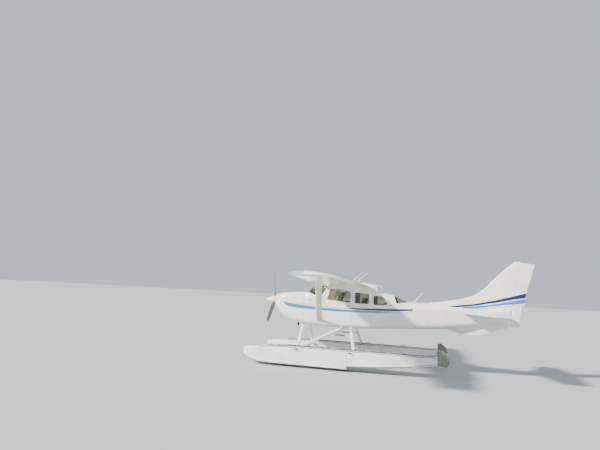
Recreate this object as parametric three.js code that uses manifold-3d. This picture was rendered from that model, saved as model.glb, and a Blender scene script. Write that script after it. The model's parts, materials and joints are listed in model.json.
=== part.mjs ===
// High-wing single-engine utility floatplane on two floats.
// Units are millimetres. Stations (X) run aft from the spinner's tip, butt lines (Y) run to
// starboard and heights (Z) run up from the thrust line. The whole aircraft is then shifted so
// that the row's origin lies on the floor under the middle of its box.
import * as THREE from 'three';
import * as BufferGeometryUtils from 'three/addons/utils/BufferGeometryUtils.js';
import Module from 'manifold-3d';

const wasm = await Module();
wasm.setup();

// Overall sizes
const HALF_SPAN = 5460;
const KEEL_DEPTH = 1985;
const BOW_STATION = -215;
const RUDDER_TIP_STATION = 8570;
const ORIGIN_STATION = (BOW_STATION + RUDDER_TIP_STATION) / 2;

// Clearances
const TOUCH_GAP = 0.3;
const HINGE_GAP = 8;
const DOOR_GAP = 6;
const END_GAP = 15;

// Finishes: colour, roughness, metalness
const FINISHES = {
  whitePaint: { color: 0xf4f4f2, roughness: 0.25, metalness: 0.0 },
  floatPaint: { color: 0xeef0f0, roughness: 0.3, metalness: 0.0 },
  polishedMetal: { color: 0xc8cbce, roughness: 0.25, metalness: 1.0 },
  bladePaint: { color: 0x3a4046, roughness: 0.45, metalness: 0.0 },
  engineMetal: { color: 0x55585a, roughness: 0.6, metalness: 0.8 },
  steel: { color: 0x9a9c9e, roughness: 0.4, metalness: 1.0 },
  glass: { color: 0x1e2b28, roughness: 0.05, metalness: 0.0 },
  trim: { color: 0x2b2c2e, roughness: 0.7, metalness: 0.0 },
  carpet: { color: 0x5a5c60, roughness: 0.95, metalness: 0.0 },
  seatCover: { color: 0xb9b2a4, roughness: 0.8, metalness: 0.0 },
  greyPaint: { color: 0x8b9094, roughness: 0.45, metalness: 0.0 },
};

const aircraft = new THREE.Group();
aircraft.position.set(-ORIGIN_STATION, 0, KEEL_DEPTH);

function addPart(name, geometry, finish) {
  const mesh = new THREE.Mesh(geometry, new THREE.MeshStandardMaterial(FINISHES[finish]));
  mesh.name = name;
  aircraft.add(mesh);
  return mesh;
}

// A table row with named columns, from an array of numbers
function rowsOf(columns, table) {
  return table.map((values) => Object.fromEntries(columns.map((name, i) => [name, values[i]])));
}

// Straight-line value of one column at a station between the rows of a table
function between(rows, key, column, at) {
  const last = rows.length - 1;
  if (at <= rows[0][key]) return rows[0][column];
  if (at >= rows[last][key]) return rows[last][column];
  const upper = rows.findIndex((row) => row[key] >= at);
  const low = rows[upper - 1];
  const high = rows[upper];
  return THREE.MathUtils.mapLinear(at, low[key], high[key], low[column], high[column]);
}

// Geometry helpers
function signedVolume(geometry) {
  const position = geometry.attributes.position;
  const index = geometry.index;
  const corners = [new THREE.Vector3(), new THREE.Vector3(), new THREE.Vector3()];
  let volume = 0;
  for (let i = 0; i < index.count; i += 3) {
    corners.forEach((corner, k) => corner.fromBufferAttribute(position, index.getX(i + k)));
    volume += corners[0].dot(corners[1].clone().cross(corners[2])) / 6;
  }
  return volume;
}

// A closed body through rings of equal point count, its ends closed by fans
function loft(rings) {
  const count = rings[0].length;
  const points = rings.flat();
  const index = [];
  for (let s = 0; s < rings.length - 1; s++) {
    for (let i = 0; i < count; i++) {
      const a = s * count + i;
      const b = s * count + ((i + 1) % count);
      index.push(a, b, b + count, a, b + count, a + count);
    }
  }
  const ends = [0, rings.length - 1];
  ends.forEach((s, k) => {
    const centre = points.length;
    const sum = rings[s].reduce((total, p) => total.add(p), new THREE.Vector3());
    points.push(sum.divideScalar(count));
    for (let i = 0; i < count; i++) {
      const a = s * count + i;
      const b = s * count + ((i + 1) % count);
      index.push(...(k === 0 ? [centre, b, a] : [centre, a, b]));
    }
  });
  const geometry = new THREE.BufferGeometry().setFromPoints(points);
  geometry.setIndex(index);
  if (signedVolume(geometry) < 0) {
    geometry.setIndex(index.map((_, i) => index[i - (i % 3) + (2 - (i % 3))]));
  }
  return geometry;
}

// A three.js geometry as a solid for joining and cutting
function solid(geometry) {
  const bare = geometry.clone();
  bare.deleteAttribute('normal');
  bare.deleteAttribute('uv');
  const merged = BufferGeometryUtils.mergeVertices(bare, 1e-3);
  const triVerts = [];
  const index = merged.index.array;
  for (let i = 0; i < index.length; i += 3) {
    const [a, b, c] = [index[i], index[i + 1], index[i + 2]];
    if (a !== b && b !== c && c !== a) triVerts.push(a, b, c);
  }
  const vertProperties = Float32Array.from(merged.attributes.position.array);
  const mesh = new wasm.Mesh({ numProp: 3, vertProperties, triVerts: Uint32Array.from(triVerts) });
  return new wasm.Manifold(mesh);
}

function geometryOf(body) {
  const mesh = body.getMesh();
  const geometry = new THREE.BufferGeometry();
  geometry.setAttribute('position', new THREE.BufferAttribute(mesh.vertProperties, 3));
  geometry.setIndex(new THREE.BufferAttribute(mesh.triVerts, 1));
  return geometry;
}

const joined = (...bodies) => bodies.reduce((total, body) => total.add(body));
const cut = (body, ...tools) => tools.reduce((rest, tool) => rest.subtract(tool), body);

function box(x0, x1, y0, y1, z0, z1) {
  const geometry = new THREE.BoxGeometry(x1 - x0, y1 - y0, z1 - z0);
  geometry.translate((x0 + x1) / 2, (y0 + y1) / 2, (z0 + z1) / 2);
  return solid(geometry);
}

// A shape whose corners are rounded; corners are [x, y] or [x, y, radius]
function roundedShape(corners, radius) {
  const shape = new THREE.Shape();
  const points = corners.map(([x, y]) => new THREE.Vector2(x, y));
  points.forEach((corner, i) => {
    const before = points[(i + points.length - 1) % points.length];
    const after = points[(i + 1) % points.length];
    const r = corners[i][2] ?? radius;
    const start = corner.clone().add(before.clone().sub(corner).setLength(r));
    const end = corner.clone().add(after.clone().sub(corner).setLength(r));
    if (i === 0) shape.moveTo(start.x, start.y);
    else shape.lineTo(start.x, start.y);
    if (r > 0) shape.quadraticCurveTo(corner.x, corner.y, end.x, end.y);
  });
  shape.closePath();
  return shape;
}

// Prisms: side-view outlines [x, z] run along Y, front-view outlines [y, z] along X and
// plan outlines [x, y] along Z
const CORNER_SEGMENTS = 3;
function prism(shape, depth, matrix) {
  const options = { depth, bevelEnabled: false, curveSegments: CORNER_SEGMENTS };
  return solid(new THREE.ExtrudeGeometry(shape, options).applyMatrix4(matrix));
}
const SIDE_VIEW = new THREE.Matrix4().makeBasis(
  new THREE.Vector3(1, 0, 0), new THREE.Vector3(0, 0, 1), new THREE.Vector3(0, -1, 0));
const FRONT_VIEW = new THREE.Matrix4().makeBasis(
  new THREE.Vector3(0, 1, 0), new THREE.Vector3(0, 0, 1), new THREE.Vector3(1, 0, 0));
function alongY(corners, y0, y1, radius = 0) {
  const place = new THREE.Matrix4().makeTranslation(0, y1, 0).multiply(SIDE_VIEW);
  return prism(roundedShape(corners, radius), y1 - y0, place);
}
function alongX(corners, x0, x1, radius = 0) {
  const place = new THREE.Matrix4().makeTranslation(x0, 0, 0).multiply(FRONT_VIEW);
  return prism(roundedShape(corners, radius), x1 - x0, place);
}

// A bar between two points with oval sections, its chord lying fore and aft. Its rows hold the
// share of the length, the chord and the thickness.
const BAR_SIDES = 12;
function shapedBar(from, to, rows) {
  const a = new THREE.Vector3(...from);
  const b = new THREE.Vector3(...to);
  const axis = b.clone().sub(a).normalize();
  const guide = Math.abs(axis.x) > 0.9 ? new THREE.Vector3(0, 0, 1) : new THREE.Vector3(1, 0, 0);
  const along = guide.clone().addScaledVector(axis, -guide.dot(axis)).normalize();
  const across = axis.clone().cross(along);
  const ring = ([share, chord, thickness]) => Array.from({ length: BAR_SIDES }, (_, i) => {
    const angle = (2 * Math.PI * i) / BAR_SIDES;
    return a.clone().lerp(b, share)
      .addScaledVector(along, (chord / 2) * Math.cos(angle))
      .addScaledVector(across, (thickness / 2) * Math.sin(angle));
  });
  return solid(loft(rows.map(ring)));
}
function bar(from, to, chord, thickness) {
  return shapedBar(from, to, [[0, chord, thickness], [1, chord, thickness]]);
}

function mirrored([x, y, z], side) {
  return [x, side * y, z];
}

const SIDES = [
  { name: 'port', side: -1 },
  { name: 'starboard', side: 1 },
];

// Fuselage: sections with elliptical corners
const FUSELAGE_COLUMNS = [
  'station', 'halfWidth', 'bottom', 'top', 'lowCornerWidth', 'lowCornerHeight', 'topCornerWidth',
  'topCornerHeight',
];
const COWL_FRONT = 420;
const FIREWALL_STATION = 1470;
const CABIN_END = 4850;
const TAIL_END = 7845;
const FUSELAGE = rowsOf(FUSELAGE_COLUMNS, [
  [420, 240, -110, 184, 180, 120, 180, 105],
  [435, 292, -170, 194, 215, 150, 210, 115],
  [465, 338, -240, 206, 240, 180, 240, 130],
  [520, 385, -335, 223, 268, 215, 270, 140],
  [605, 430, -432, 243, 285, 255, 300, 150],
  [710, 466, -525, 262, 298, 290, 325, 160],
  [890, 500, -620, 285, 300, 300, 340, 170],
  [1100, 520, -680, 303, 260, 260, 340, 170],
  [1470, 548, -722, 325, 210, 210, 340, 180],
  [1530, 553, -730, 333, 200, 200, 340, 190],
  [1610, 560, -738, 400, 190, 190, 340, 230],
  [1700, 565, -745, 470, 180, 180, 330, 270],
  [1850, 571, -753, 552, 175, 175, 310, 310],
  [2000, 575, -759, 612, 170, 170, 280, 310],
  [2150, 578, -764, 650, 170, 170, 230, 260],
  [2300, 580, -767, 672, 170, 170, 160, 150],
  [2600, 582, -768, 694, 170, 170, 120, 70],
  [3160, 580, -760, 698, 170, 170, 120, 60],
  [3450, 576, -750, 686, 170, 170, 120, 60],
  [3700, 568, -742, 640, 170, 170, 120, 60],
  [3860, 560, -735, 606, 170, 170, 120, 60],
  [3905, 557, -733, 455, 170, 170, 260, 110],
  [4120, 546, -714, 402, 170, 170, 300, 190],
  [4370, 528, -700, 345, 175, 175, 330, 250],
  [4790, 485, -680, 182, 180, 180, 340, 260],
  [5000, 458, -669, 154, 185, 185, 330, 260],
  [5430, 400, -646, 150, 185, 185, 290, 260],
  [5810, 347, -622, 148, 180, 180, 255, 250],
  [6260, 285, -556, 142, 160, 170, 210, 220],
  [6850, 203, -452, 130, 120, 150, 150, 180],
  [7400, 128, -345, 122, 80, 110, 95, 130],
  [7845, 66, -255, 116, 45, 60, 50, 70],
]);
const RING_STEPS = 5;

function fuselageRing(row, inset) {
  const corners = [
    { y: 1, z: -1, from: -90 }, { y: 1, z: 1, from: 0 },
    { y: -1, z: 1, from: 90 }, { y: -1, z: -1, from: 180 },
  ];
  return corners.flatMap(({ y, z, from }) => {
    const width = Math.max((z < 0 ? row.lowCornerWidth : row.topCornerWidth) - inset, 5);
    const height = Math.max((z < 0 ? row.lowCornerHeight : row.topCornerHeight) - inset, 5);
    const edge = z < 0 ? row.bottom + inset : row.top - inset;
    const centreY = y * (row.halfWidth - inset - width);
    const centreZ = edge - z * height;
    return Array.from({ length: RING_STEPS + 1 }, (_, i) => {
      const angle = THREE.MathUtils.degToRad(from + (90 * i) / RING_STEPS);
      return new THREE.Vector3(
        row.station, centreY + width * Math.cos(angle), centreZ + height * Math.sin(angle));
    });
  });
}

// The whole fuselage's form, moved in from the skin by an inset, and a length of it
const FORM_REACH = 1000;
const wholeForms = new Map();
function wholeForm(inset) {
  if (!wholeForms.has(inset)) {
    wholeForms.set(inset, solid(loft(FUSELAGE.map((row) => fuselageRing(row, inset)))));
  }
  return wholeForms.get(inset);
}
function fuselage(from, to, inset = 0) {
  return wholeForm(inset).intersect(box(from, to, -FORM_REACH, FORM_REACH, -FORM_REACH, FORM_REACH));
}
const fuselageSkin = wholeForm(-TOUCH_GAP);

// Cowling: a shell with two air inlets, the shaft's hole and the cooling air's way out below
const COWL_WALL = 14;
const COWL_END = FIREWALL_STATION - 5;
const INLET = { inner: 160, outer: 262, low: -45, high: 105, depth: 240, corner: 40 };
const SHAFT_RADIUS = 45;
const SHAFT_HOLE_RADIUS = 60;
const COOLING_EXIT = { front: 1130, halfWidth: 290, low: -800, high: -560 };
function cylinderX(x0, x1, radius, z = 0, segments = 24) {
  const geometry = new THREE.CylinderGeometry(radius, radius, x1 - x0, segments);
  geometry.rotateZ(Math.PI / 2).translate((x0 + x1) / 2, 0, z);
  return solid(geometry);
}
function inletCut(side) {
  const { inner, outer, low, high, corner } = INLET;
  const corners = [[inner, low], [outer, low], [outer, high], [inner, high]];
  const outline = corners.map(([y, z]) => [side * y, z]);
  return alongX(side > 0 ? outline : outline.reverse(), COWL_FRONT - 50,
    COWL_FRONT + INLET.depth, corner);
}
const cowling = cut(
  fuselage(COWL_FRONT, COWL_END),
  fuselage(COWL_FRONT + COWL_WALL, COWL_END + 20, COWL_WALL),
  inletCut(-1),
  inletCut(1),
  cylinderX(COWL_FRONT - 20, COWL_FRONT + 60, SHAFT_HOLE_RADIUS),
  box(COOLING_EXIT.front, COWL_END + 10, -COOLING_EXIT.halfWidth, COOLING_EXIT.halfWidth,
    COOLING_EXIT.low, COOLING_EXIT.high),
);
addPart('cowling', geometryOf(cowling), 'whitePaint');

// Engine: one plain block with its mounting bars and its exhaust
const ENGINE = { front: 690, back: 1330, halfWidth: 385, low: -330, high: 110 };
const MOUNT_BAR = { y: 220, low: -290, high: 50, size: 30 };
const mountBars = [-1, 1].flatMap((side) => [MOUNT_BAR.low, MOUNT_BAR.high].map((z) => {
  const y = side * MOUNT_BAR.y;
  const half = MOUNT_BAR.size / 2;
  return box(ENGINE.back - 10, COWL_END, y - half, y + half, z - half, z + half);
}));
const EXHAUST = { station: 1240, y: -170, radius: 38, bore: 31, bottom: -800 };
function tubeDown(radius, top, bottom) {
  const geometry = new THREE.CylinderGeometry(radius, radius, top - bottom, 16);
  geometry.rotateX(Math.PI / 2).translate(EXHAUST.station, EXHAUST.y, (top + bottom) / 2);
  return solid(geometry);
}
const engineBlock = joined(
  box(ENGINE.front, ENGINE.back, -ENGINE.halfWidth, ENGINE.halfWidth, ENGINE.low, ENGINE.high),
  ...mountBars,
  cut(
    tubeDown(EXHAUST.radius, ENGINE.low + 10, EXHAUST.bottom),
    tubeDown(EXHAUST.bore, ENGINE.low - 120, EXHAUST.bottom - 20),
  ),
);
addPart('engine_block', geometryOf(engineBlock), 'engineMetal');

// Firewall between the cowling and the cabin
const FIREWALL_THICKNESS = 9.4;
addPart('firewall', geometryOf(fuselage(
  COWL_END + TOUCH_GAP, COWL_END + TOUCH_GAP + FIREWALL_THICKNESS)), 'polishedMetal');

// Propeller and spinner
const PROP = { station: 330, radius: 1015, hubRadius: 95, hubFront: 270, hubBack: 390, turn: 13 };
const BLADE_COLUMNS = ['radius', 'chord', 'thickness', 'pitch'];
const BLADE = rowsOf(BLADE_COLUMNS, [
  [70, 84, 84, 45],
  [150, 88, 70, 42],
  [230, 130, 38, 37],
  [400, 158, 26, 30],
  [650, 152, 17, 23],
  [880, 122, 12, 18],
  [985, 88, 9, 16],
  [1015, 40, 6, 15],
]);
const BLADE_SIDES = 12;
const BLADE_COUNT = 3;
function bladeRing(row, grow = 0) {
  const pitch = THREE.MathUtils.degToRad(row.pitch);
  return Array.from({ length: BLADE_SIDES }, (_, i) => {
    const angle = (2 * Math.PI * i) / BLADE_SIDES;
    const along = (row.chord / 2 + grow) * Math.cos(angle);
    const across = (row.thickness / 2 + grow) * Math.sin(angle);
    return new THREE.Vector3(
      PROP.station - along * Math.sin(pitch) + across * Math.cos(pitch),
      along * Math.cos(pitch) + across * Math.sin(pitch),
      row.radius);
  });
}
function blade(index, grow = 0, rows = BLADE) {
  const geometry = loft(rows.map((row) => bladeRing(row, grow)));
  geometry.rotateX(THREE.MathUtils.degToRad(PROP.turn + (360 * index) / BLADE_COUNT));
  return solid(geometry);
}
const bladeNumbers = Array.from({ length: BLADE_COUNT }, (_, i) => i);
const propeller = joined(
  cylinderX(PROP.hubFront, PROP.hubBack, PROP.hubRadius),
  cylinderX(PROP.hubBack - 5, ENGINE.front - 40, SHAFT_RADIUS),
  ...bladeNumbers.map((i) => blade(i)),
);
addPart('propeller', geometryOf(propeller), 'bladePaint');

// The spinner is a pointed cap over the hub, slotted for the blades
const SPINNER = { radius: 138, length: 405 };
const SPINNER_POINTS = 9;
const spinnerProfile = (inset) => {
  const profile = [new THREE.Vector2(0, inset)];
  for (let i = 1; i < SPINNER_POINTS; i++) {
    const x = inset + ((SPINNER.length - inset) * i) / (SPINNER_POINTS - 1);
    const share = Math.min((x - inset) / (SPINNER.length * 0.92), 1);
    const swell = Math.sin((share * Math.PI) / 2) ** 0.82;
    profile.push(new THREE.Vector2((SPINNER.radius - inset) * swell, x));
  }
  profile.push(new THREE.Vector2(0, SPINNER.length));
  return profile;
};
function spinnerBody(inset) {
  const geometry = new THREE.LatheGeometry(spinnerProfile(inset), 32);
  geometry.rotateZ(-Math.PI / 2);
  return solid(geometry);
}
const spinner = cut(
  spinnerBody(0),
  cylinderX(PROP.hubFront - TOUCH_GAP, SPINNER.length + 5, PROP.hubRadius + TOUCH_GAP),
  ...bladeNumbers.map((i) => blade(i, 3, BLADE.slice(0, 4))),
);
addPart('spinner', geometryOf(spinner), 'whitePaint');

// Cabin: walls of one thickness with every window and doorway cut, split from the roof
const WALL = 38;
const ROOF_FRONT = 2300;
const ROOF_END = 3872;
const ROOF_UNDERSIDE = 500;
const WALL_REACH = 700;
const CABIN_FRONT = COWL_END + FIREWALL_THICKNESS + 2 * TOUCH_GAP;

// Side-view outlines, as [station, height, corner radius]
const WINDSHIELD_OUTLINE = [
  [1518, 344, 0], [2058, 168, 30], [2252, 500, 20], [ROOF_FRONT - 8, 560, 0],
  [ROOF_FRONT - 8, 800, 0], [1480, 800, 0],
];
const REAR_WINDOW_OUTLINE = [
  [4372, 345, 20], [4478, 92, 35], [4800, 150, 20], [4815, 480, 0], [4372, 600, 0],
];
const SIDE_WINDOWS = {
  front: [[2262, 108, 30], [2372, 448, 40], [3028, 392, 45], [3028, 45, 45]],
  middle: [[3165, 38, 40], [3165, 370, 40], [3618, 345, 40], [3618, 38, 40]],
  rear: [[3762, 20, 40], [3762, 298, 35], [4030, 284, 90], [4205, 40, 60]],
};
const DOORWAYS = {
  pilot: [[2142, -560, 60], [2142, 130, 30], [2296, 462, 30], [3092, 442, 40], [3092, -560, 60]],
  cargoFront: [[3108, -560, 50], [3108, 430, 40], [3686, 400, 30], [3686, -560, 30]],
  cargoRear: [[3692, -560, 30], [3692, 396, 30], [4060, 335, 60], [4262, 60, 60], [4262, -560, 60]],
};

// An outline moved in by a gap along its corner bisectors
function inset(outline, gap) {
  const count = outline.length;
  const area = outline.reduce((sum, [x, y], i) => {
    const [nextX, nextY] = outline[(i + 1) % count];
    return sum + x * nextY - nextX * y;
  }, 0);
  const turn = Math.sign(area);
  const normalOf = (from, to) => new THREE.Vector2(from[1] - to[1], to[0] - from[0])
    .normalize().multiplyScalar(turn);
  return outline.map((corner, i) => {
    const before = normalOf(outline[(i + count - 1) % count], corner);
    const after = normalOf(corner, outline[(i + 1) % count]);
    const bisector = before.clone().add(after);
    bisector.multiplyScalar(gap / (0.5 * bisector.lengthSq()));
    return [corner[0] + bisector.x, corner[1] + bisector.y, corner[2]];
  });
}
const portCut = (outline) => alongY(outline, -WALL_REACH, -200);
const starboardCut = (outline) => alongY(outline, 200, WALL_REACH);
const sideCut = { port: portCut, starboard: starboardCut };
const acrossCut = (outline) => alongY(outline, -WALL_REACH, WALL_REACH);

function shellOf(from, to, outerInset, innerInset) {
  return cut(fuselage(from, to, outerInset), fuselage(from - 10, to + 10, innerInset));
}
const cabinWall = shellOf(CABIN_FRONT, CABIN_END, 0, WALL);
const aboveRoofLine = box(ROOF_FRONT - 10, ROOF_END, -WALL_REACH, WALL_REACH,
  ROOF_UNDERSIDE - TOUCH_GAP, 900);
const cabinShell = cut(
  cabinWall,
  aboveRoofLine,
  acrossCut(WINDSHIELD_OUTLINE),
  acrossCut(REAR_WINDOW_OUTLINE),
  portCut(DOORWAYS.pilot),
  portCut(SIDE_WINDOWS.middle),
  portCut(SIDE_WINDOWS.rear),
  starboardCut(SIDE_WINDOWS.front),
  starboardCut(DOORWAYS.cargoFront),
  starboardCut(DOORWAYS.cargoRear),
);
addPart('cabin_shell', geometryOf(cabinShell), 'whitePaint');

const cabinRoof = fuselage(ROOF_FRONT - 10 + TOUCH_GAP, ROOF_END - TOUCH_GAP)
  .intersect(box(ROOF_FRONT - 50, ROOF_END + 50, -WALL_REACH, WALL_REACH, ROOF_UNDERSIDE, 900));
addPart('cabin_roof', geometryOf(cabinRoof), 'whitePaint');

// Glass: panes let into the wall
const PANE = { outer: 12, inner: 18 };
const paneShell = shellOf(CABIN_FRONT, CABIN_END, PANE.outer, PANE.inner);
const pane = (cutter) => geometryOf(paneShell.intersect(cutter));
addPart('windshield', pane(acrossCut(inset(WINDSHIELD_OUTLINE, TOUCH_GAP))
  .intersect(box(CABIN_FRONT + 5, ROOF_FRONT - 12, -WALL_REACH, WALL_REACH, 0, 900))), 'glass');
addPart('rear_window', pane(acrossCut(inset(REAR_WINDOW_OUTLINE, TOUCH_GAP))), 'glass');
const PANES = [
  { name: 'door_glass_pilot', side: 'port', outline: SIDE_WINDOWS.front },
  { name: 'window_port_middle', side: 'port', outline: SIDE_WINDOWS.middle },
  { name: 'window_port_rear', side: 'port', outline: SIDE_WINDOWS.rear },
  { name: 'window_starboard_front', side: 'starboard', outline: SIDE_WINDOWS.front },
  { name: 'door_glass_cargo_front', side: 'starboard', outline: SIDE_WINDOWS.middle },
  { name: 'door_glass_cargo_rear', side: 'starboard', outline: SIDE_WINDOWS.rear },
];
for (const { name, side, outline } of PANES) {
  addPart(name, pane(sideCut[side](inset(outline, TOUCH_GAP))), 'glass');
}

// Doors, each as thick as the wall
const DOORS = [
  { name: 'pilot_door', side: 'port', doorway: DOORWAYS.pilot, window: SIDE_WINDOWS.front },
  { name: 'cargo_door_front', side: 'starboard', doorway: DOORWAYS.cargoFront,
    window: SIDE_WINDOWS.middle },
  { name: 'cargo_door_rear', side: 'starboard', doorway: DOORWAYS.cargoRear,
    window: SIDE_WINDOWS.rear },
];
for (const { name, side, doorway, window } of DOORS) {
  const door = cut(
    cabinWall.intersect(sideCut[side](inset(doorway, DOOR_GAP))), sideCut[side](window));
  addPart(name, geometryOf(door), 'whitePaint');
}

// Cabin floor with the seats' pedestals, instrument panel and rear bulkhead
const FLOOR_TOP = -665;
const FLOOR = { front: 1500, back: 4240 };
const SEAT_COLUMNS = ['y', 'halfWidth'];
const SEAT_ROWS = [
  { name: 'seat_front', front: 1960, hinge: [2330, -230], top: [2635, 400],
    places: [[-270, 220], [270, 220]] },
  { name: 'seat_middle', front: 2850, hinge: [3240, -230], top: [3400, 250],
    places: [[-270, 220], [270, 220]] },
  { name: 'seat_rear', front: 3640, hinge: [4000, -230], top: [4120, 200], places: [[0, 455]] },
];
const CUSHION = { low: -340, thick: 110, backThick: 105 };
const PEDESTAL_INSET = 60;
const innerSpace = (from, to) => fuselage(from, to, WALL + TOUCH_GAP);
const floorPlate = innerSpace(FLOOR.front, FLOOR.back)
  .intersect(box(FLOOR.front - 5, FLOOR.back + 5, -WALL_REACH, WALL_REACH, -900, FLOOR_TOP));
const pedestals = SEAT_ROWS.flatMap((row) => rowsOf(SEAT_COLUMNS, row.places).map((place) => box(
  row.front + PEDESTAL_INSET, row.hinge[0] - PEDESTAL_INSET,
  place.y - place.halfWidth + PEDESTAL_INSET, place.y + place.halfWidth - PEDESTAL_INSET,
  FLOOR_TOP - 1, CUSHION.low - TOUCH_GAP)));
addPart('cabin_floor', geometryOf(joined(floorPlate, ...pedestals)), 'carpet');

// Each seat is one soft block: a cushion and a leaning back
for (const row of SEAT_ROWS) {
  const [hingeX, hingeZ] = row.hinge;
  const [topX, topZ] = row.top;
  const outline = [
    [row.front, CUSHION.low, 20], [hingeX + CUSHION.backThick, CUSHION.low, 25],
    [topX + CUSHION.backThick, topZ, 40], [topX, topZ, 40], [hingeX, hingeZ, 5],
    [row.front, hingeZ, 35],
  ];
  rowsOf(SEAT_COLUMNS, row.places).forEach((place, i) => {
    const name = row.places.length > 1 ? `${row.name}_${SIDES[i].name}` : row.name;
    const seat = alongY(outline, place.y - place.halfWidth, place.y + place.halfWidth);
    addPart(name, geometryOf(seat), 'seatCover');
  });
}

const PANEL = { front: 1800, back: 1850, low: -200, shelfFront: 1545, shelfThick: 18 };
const panelOutline = [
  [PANEL.front, PANEL.low], [PANEL.back, PANEL.low], [PANEL.back + 40, 205],
  [PANEL.shelfFront, 300], [PANEL.shelfFront, 300 - PANEL.shelfThick], [PANEL.front, 200],
];
const instrumentPanel = acrossCut(panelOutline).intersect(innerSpace(1480, 2100));
addPart('instrument_panel', geometryOf(instrumentPanel), 'trim');

const BULKHEAD = { front: 4690, thickness: 10 };
addPart('rear_bulkhead', geometryOf(innerSpace(
  BULKHEAD.front, BULKHEAD.front + BULKHEAD.thickness)), 'carpet');

// Tail cone: a shell, open at its front, with holes for the elevator's torque tube
const TAIL_WALL = 12;
const ELEVATOR_HINGE = { station: 7400, height: -85 };
const TORQUE_TUBE_RADIUS = 22;
function cylinderY(x, z, y0, y1, radius, segments = 16) {
  const geometry = new THREE.CylinderGeometry(radius, radius, y1 - y0, segments);
  geometry.translate(x, (y0 + y1) / 2, z);
  return solid(geometry);
}
const tailCone = cut(
  fuselage(CABIN_END + TOUCH_GAP, TAIL_END),
  fuselage(CABIN_END - 10, TAIL_END - TAIL_WALL, TAIL_WALL),
  cylinderY(ELEVATOR_HINGE.station, ELEVATOR_HINGE.height, -300, 300, TORQUE_TUBE_RADIUS + 8),
);
addPart('tail_cone', geometryOf(tailCone), 'whitePaint');

// Fin, rudder and ventral fin share one hinge line
const RUDDER_HINGE = { station: 7935, lean: 0.175 };
const hingeStation = (height) => RUDDER_HINGE.station + RUDDER_HINGE.lean * height;
const FIN_SHARES = [0, 0.03, 0.1, 0.22, 0.4, 0.7, 1];
const FIN_BULGE = [0, 0.42, 0.7, 0.9, 1, 0.96, 0.84];
function finRing(height, leading, trailing, thickness) {
  const side = (sign) => FIN_SHARES.map((share, i) => new THREE.Vector3(
    leading + share * (trailing - leading), (sign * FIN_BULGE[i] * thickness) / 2, height));
  const port = side(-1);
  const starboard = side(1).slice(1).reverse();
  return [...port, ...starboard];
}
const FIN = rowsOf(['height', 'leading', 'thickness'], [
  [60, 5430, 80],
  [165, 5450, 80],
  [215, 5800, 79],
  [330, 6370, 78],
  [440, 6750, 76],
  [540, 6905, 75],
  [720, 7130, 71],
  [910, 7312, 66],
  [1280, 7680, 55],
  [1560, 7990, 46],
]);
const noseRadius = (height) => THREE.MathUtils.mapLinear(height, -430, 1560, 38, 20);
const fin = solid(loft(FIN.map((row) => finRing(
  row.height, row.leading, hingeStation(row.height) - noseRadius(row.height) - HINGE_GAP,
  row.thickness))));
addPart('fin', geometryOf(cut(fin, fuselageSkin)), 'whitePaint');

const RUDDER = rowsOf(['height', 'trailing'], [
  [-425, 8105],
  [-190, 8130],
  [210, 8200],
  [235, 8262],
  [610, 8315],
  [1080, 8455],
  [1535, RUDDER_TIP_STATION],
]);
const NOSE_STEPS = 6;
const TRAILING_HALF = 3;
// A hinged surface's section: a round nose on the hinge, straight sides and a thin trailing edge
function flapOutline(nose, length) {
  const points = [[length, TRAILING_HALF]];
  for (let i = 0; i <= NOSE_STEPS; i++) {
    const angle = THREE.MathUtils.degToRad(90 + (180 * i) / NOSE_STEPS);
    points.push([nose * Math.cos(angle), nose * Math.sin(angle)]);
  }
  points.push([length, -TRAILING_HALF]);
  return points;
}
const rudder = solid(loft(RUDDER.map((row) => {
  const hinge = hingeStation(row.height);
  return flapOutline(noseRadius(row.height), row.trailing - hinge)
    .map(([x, y]) => new THREE.Vector3(hinge + x, y, row.height));
})));
addPart('rudder', geometryOf(rudder), 'whitePaint');

const VENTRAL = {
  halfThickness: 15,
  outline: [
    [6050, -560], [6055, -640], [6550, -768], [7060, -742], [7210, -656],
    [7440, -580], [7800, -468], [7800, -250], [6800, -400],
  ],
};
const ventralFin = cut(
  alongY(VENTRAL.outline, -VENTRAL.halfThickness, VENTRAL.halfThickness), fuselageSkin);
addPart('ventral_fin', geometryOf(ventralFin), 'whitePaint');

// Stabilizer halves and elevators
const STABILIZER = rowsOf(['y', 'leading', 'thickness', 'nose', 'trailing'], [
  [40, 6430, 106, 42, 7845],
  [1930, 6930, 60, 24, 7725],
  [1980, 6990, 36, 20, 7700],
]);
function stabilizerRing(row, side) {
  const trailing = ELEVATOR_HINGE.station - row.nose - HINGE_GAP;
  const half = FIN_SHARES.map((share, i) => [
    row.leading + share * (trailing - row.leading), (FIN_BULGE[i] * row.thickness) / 2]);
  const upper = half.map(([x, z]) => [x, z]);
  const lower = half.slice(1).reverse().map(([x, z]) => [x, -z]);
  return [...upper, ...lower].map(([x, z]) => new THREE.Vector3(
    x, side * row.y, ELEVATOR_HINGE.height + z));
}
const ELEVATOR_INNER_END = 152;
const elevatorRows = [ELEVATOR_INNER_END, 1965].map((y) => ({
  y,
  nose: between(STABILIZER, 'y', 'nose', y),
  trailing: between(STABILIZER, 'y', 'trailing', y),
}));
for (const { name, side } of SIDES) {
  const stabilizer = solid(loft(STABILIZER.map((row) => stabilizerRing(row, side))));
  addPart(`stabilizer_${name}`, geometryOf(cut(stabilizer, fuselageSkin)), 'whitePaint');
}
const elevatorHalf = ({ side }) => solid(loft(elevatorRows.map((row) => {
  const length = row.trailing - ELEVATOR_HINGE.station;
  return flapOutline(row.nose, length).map(([x, z]) => new THREE.Vector3(
    ELEVATOR_HINGE.station + x, side * row.y, ELEVATOR_HINGE.height + z));
})));
const tubeEnd = ELEVATOR_INNER_END + 20;
const torqueTube = cylinderY(ELEVATOR_HINGE.station, ELEVATOR_HINGE.height, -tubeEnd, tubeEnd,
  TORQUE_TUBE_RADIUS);
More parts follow.
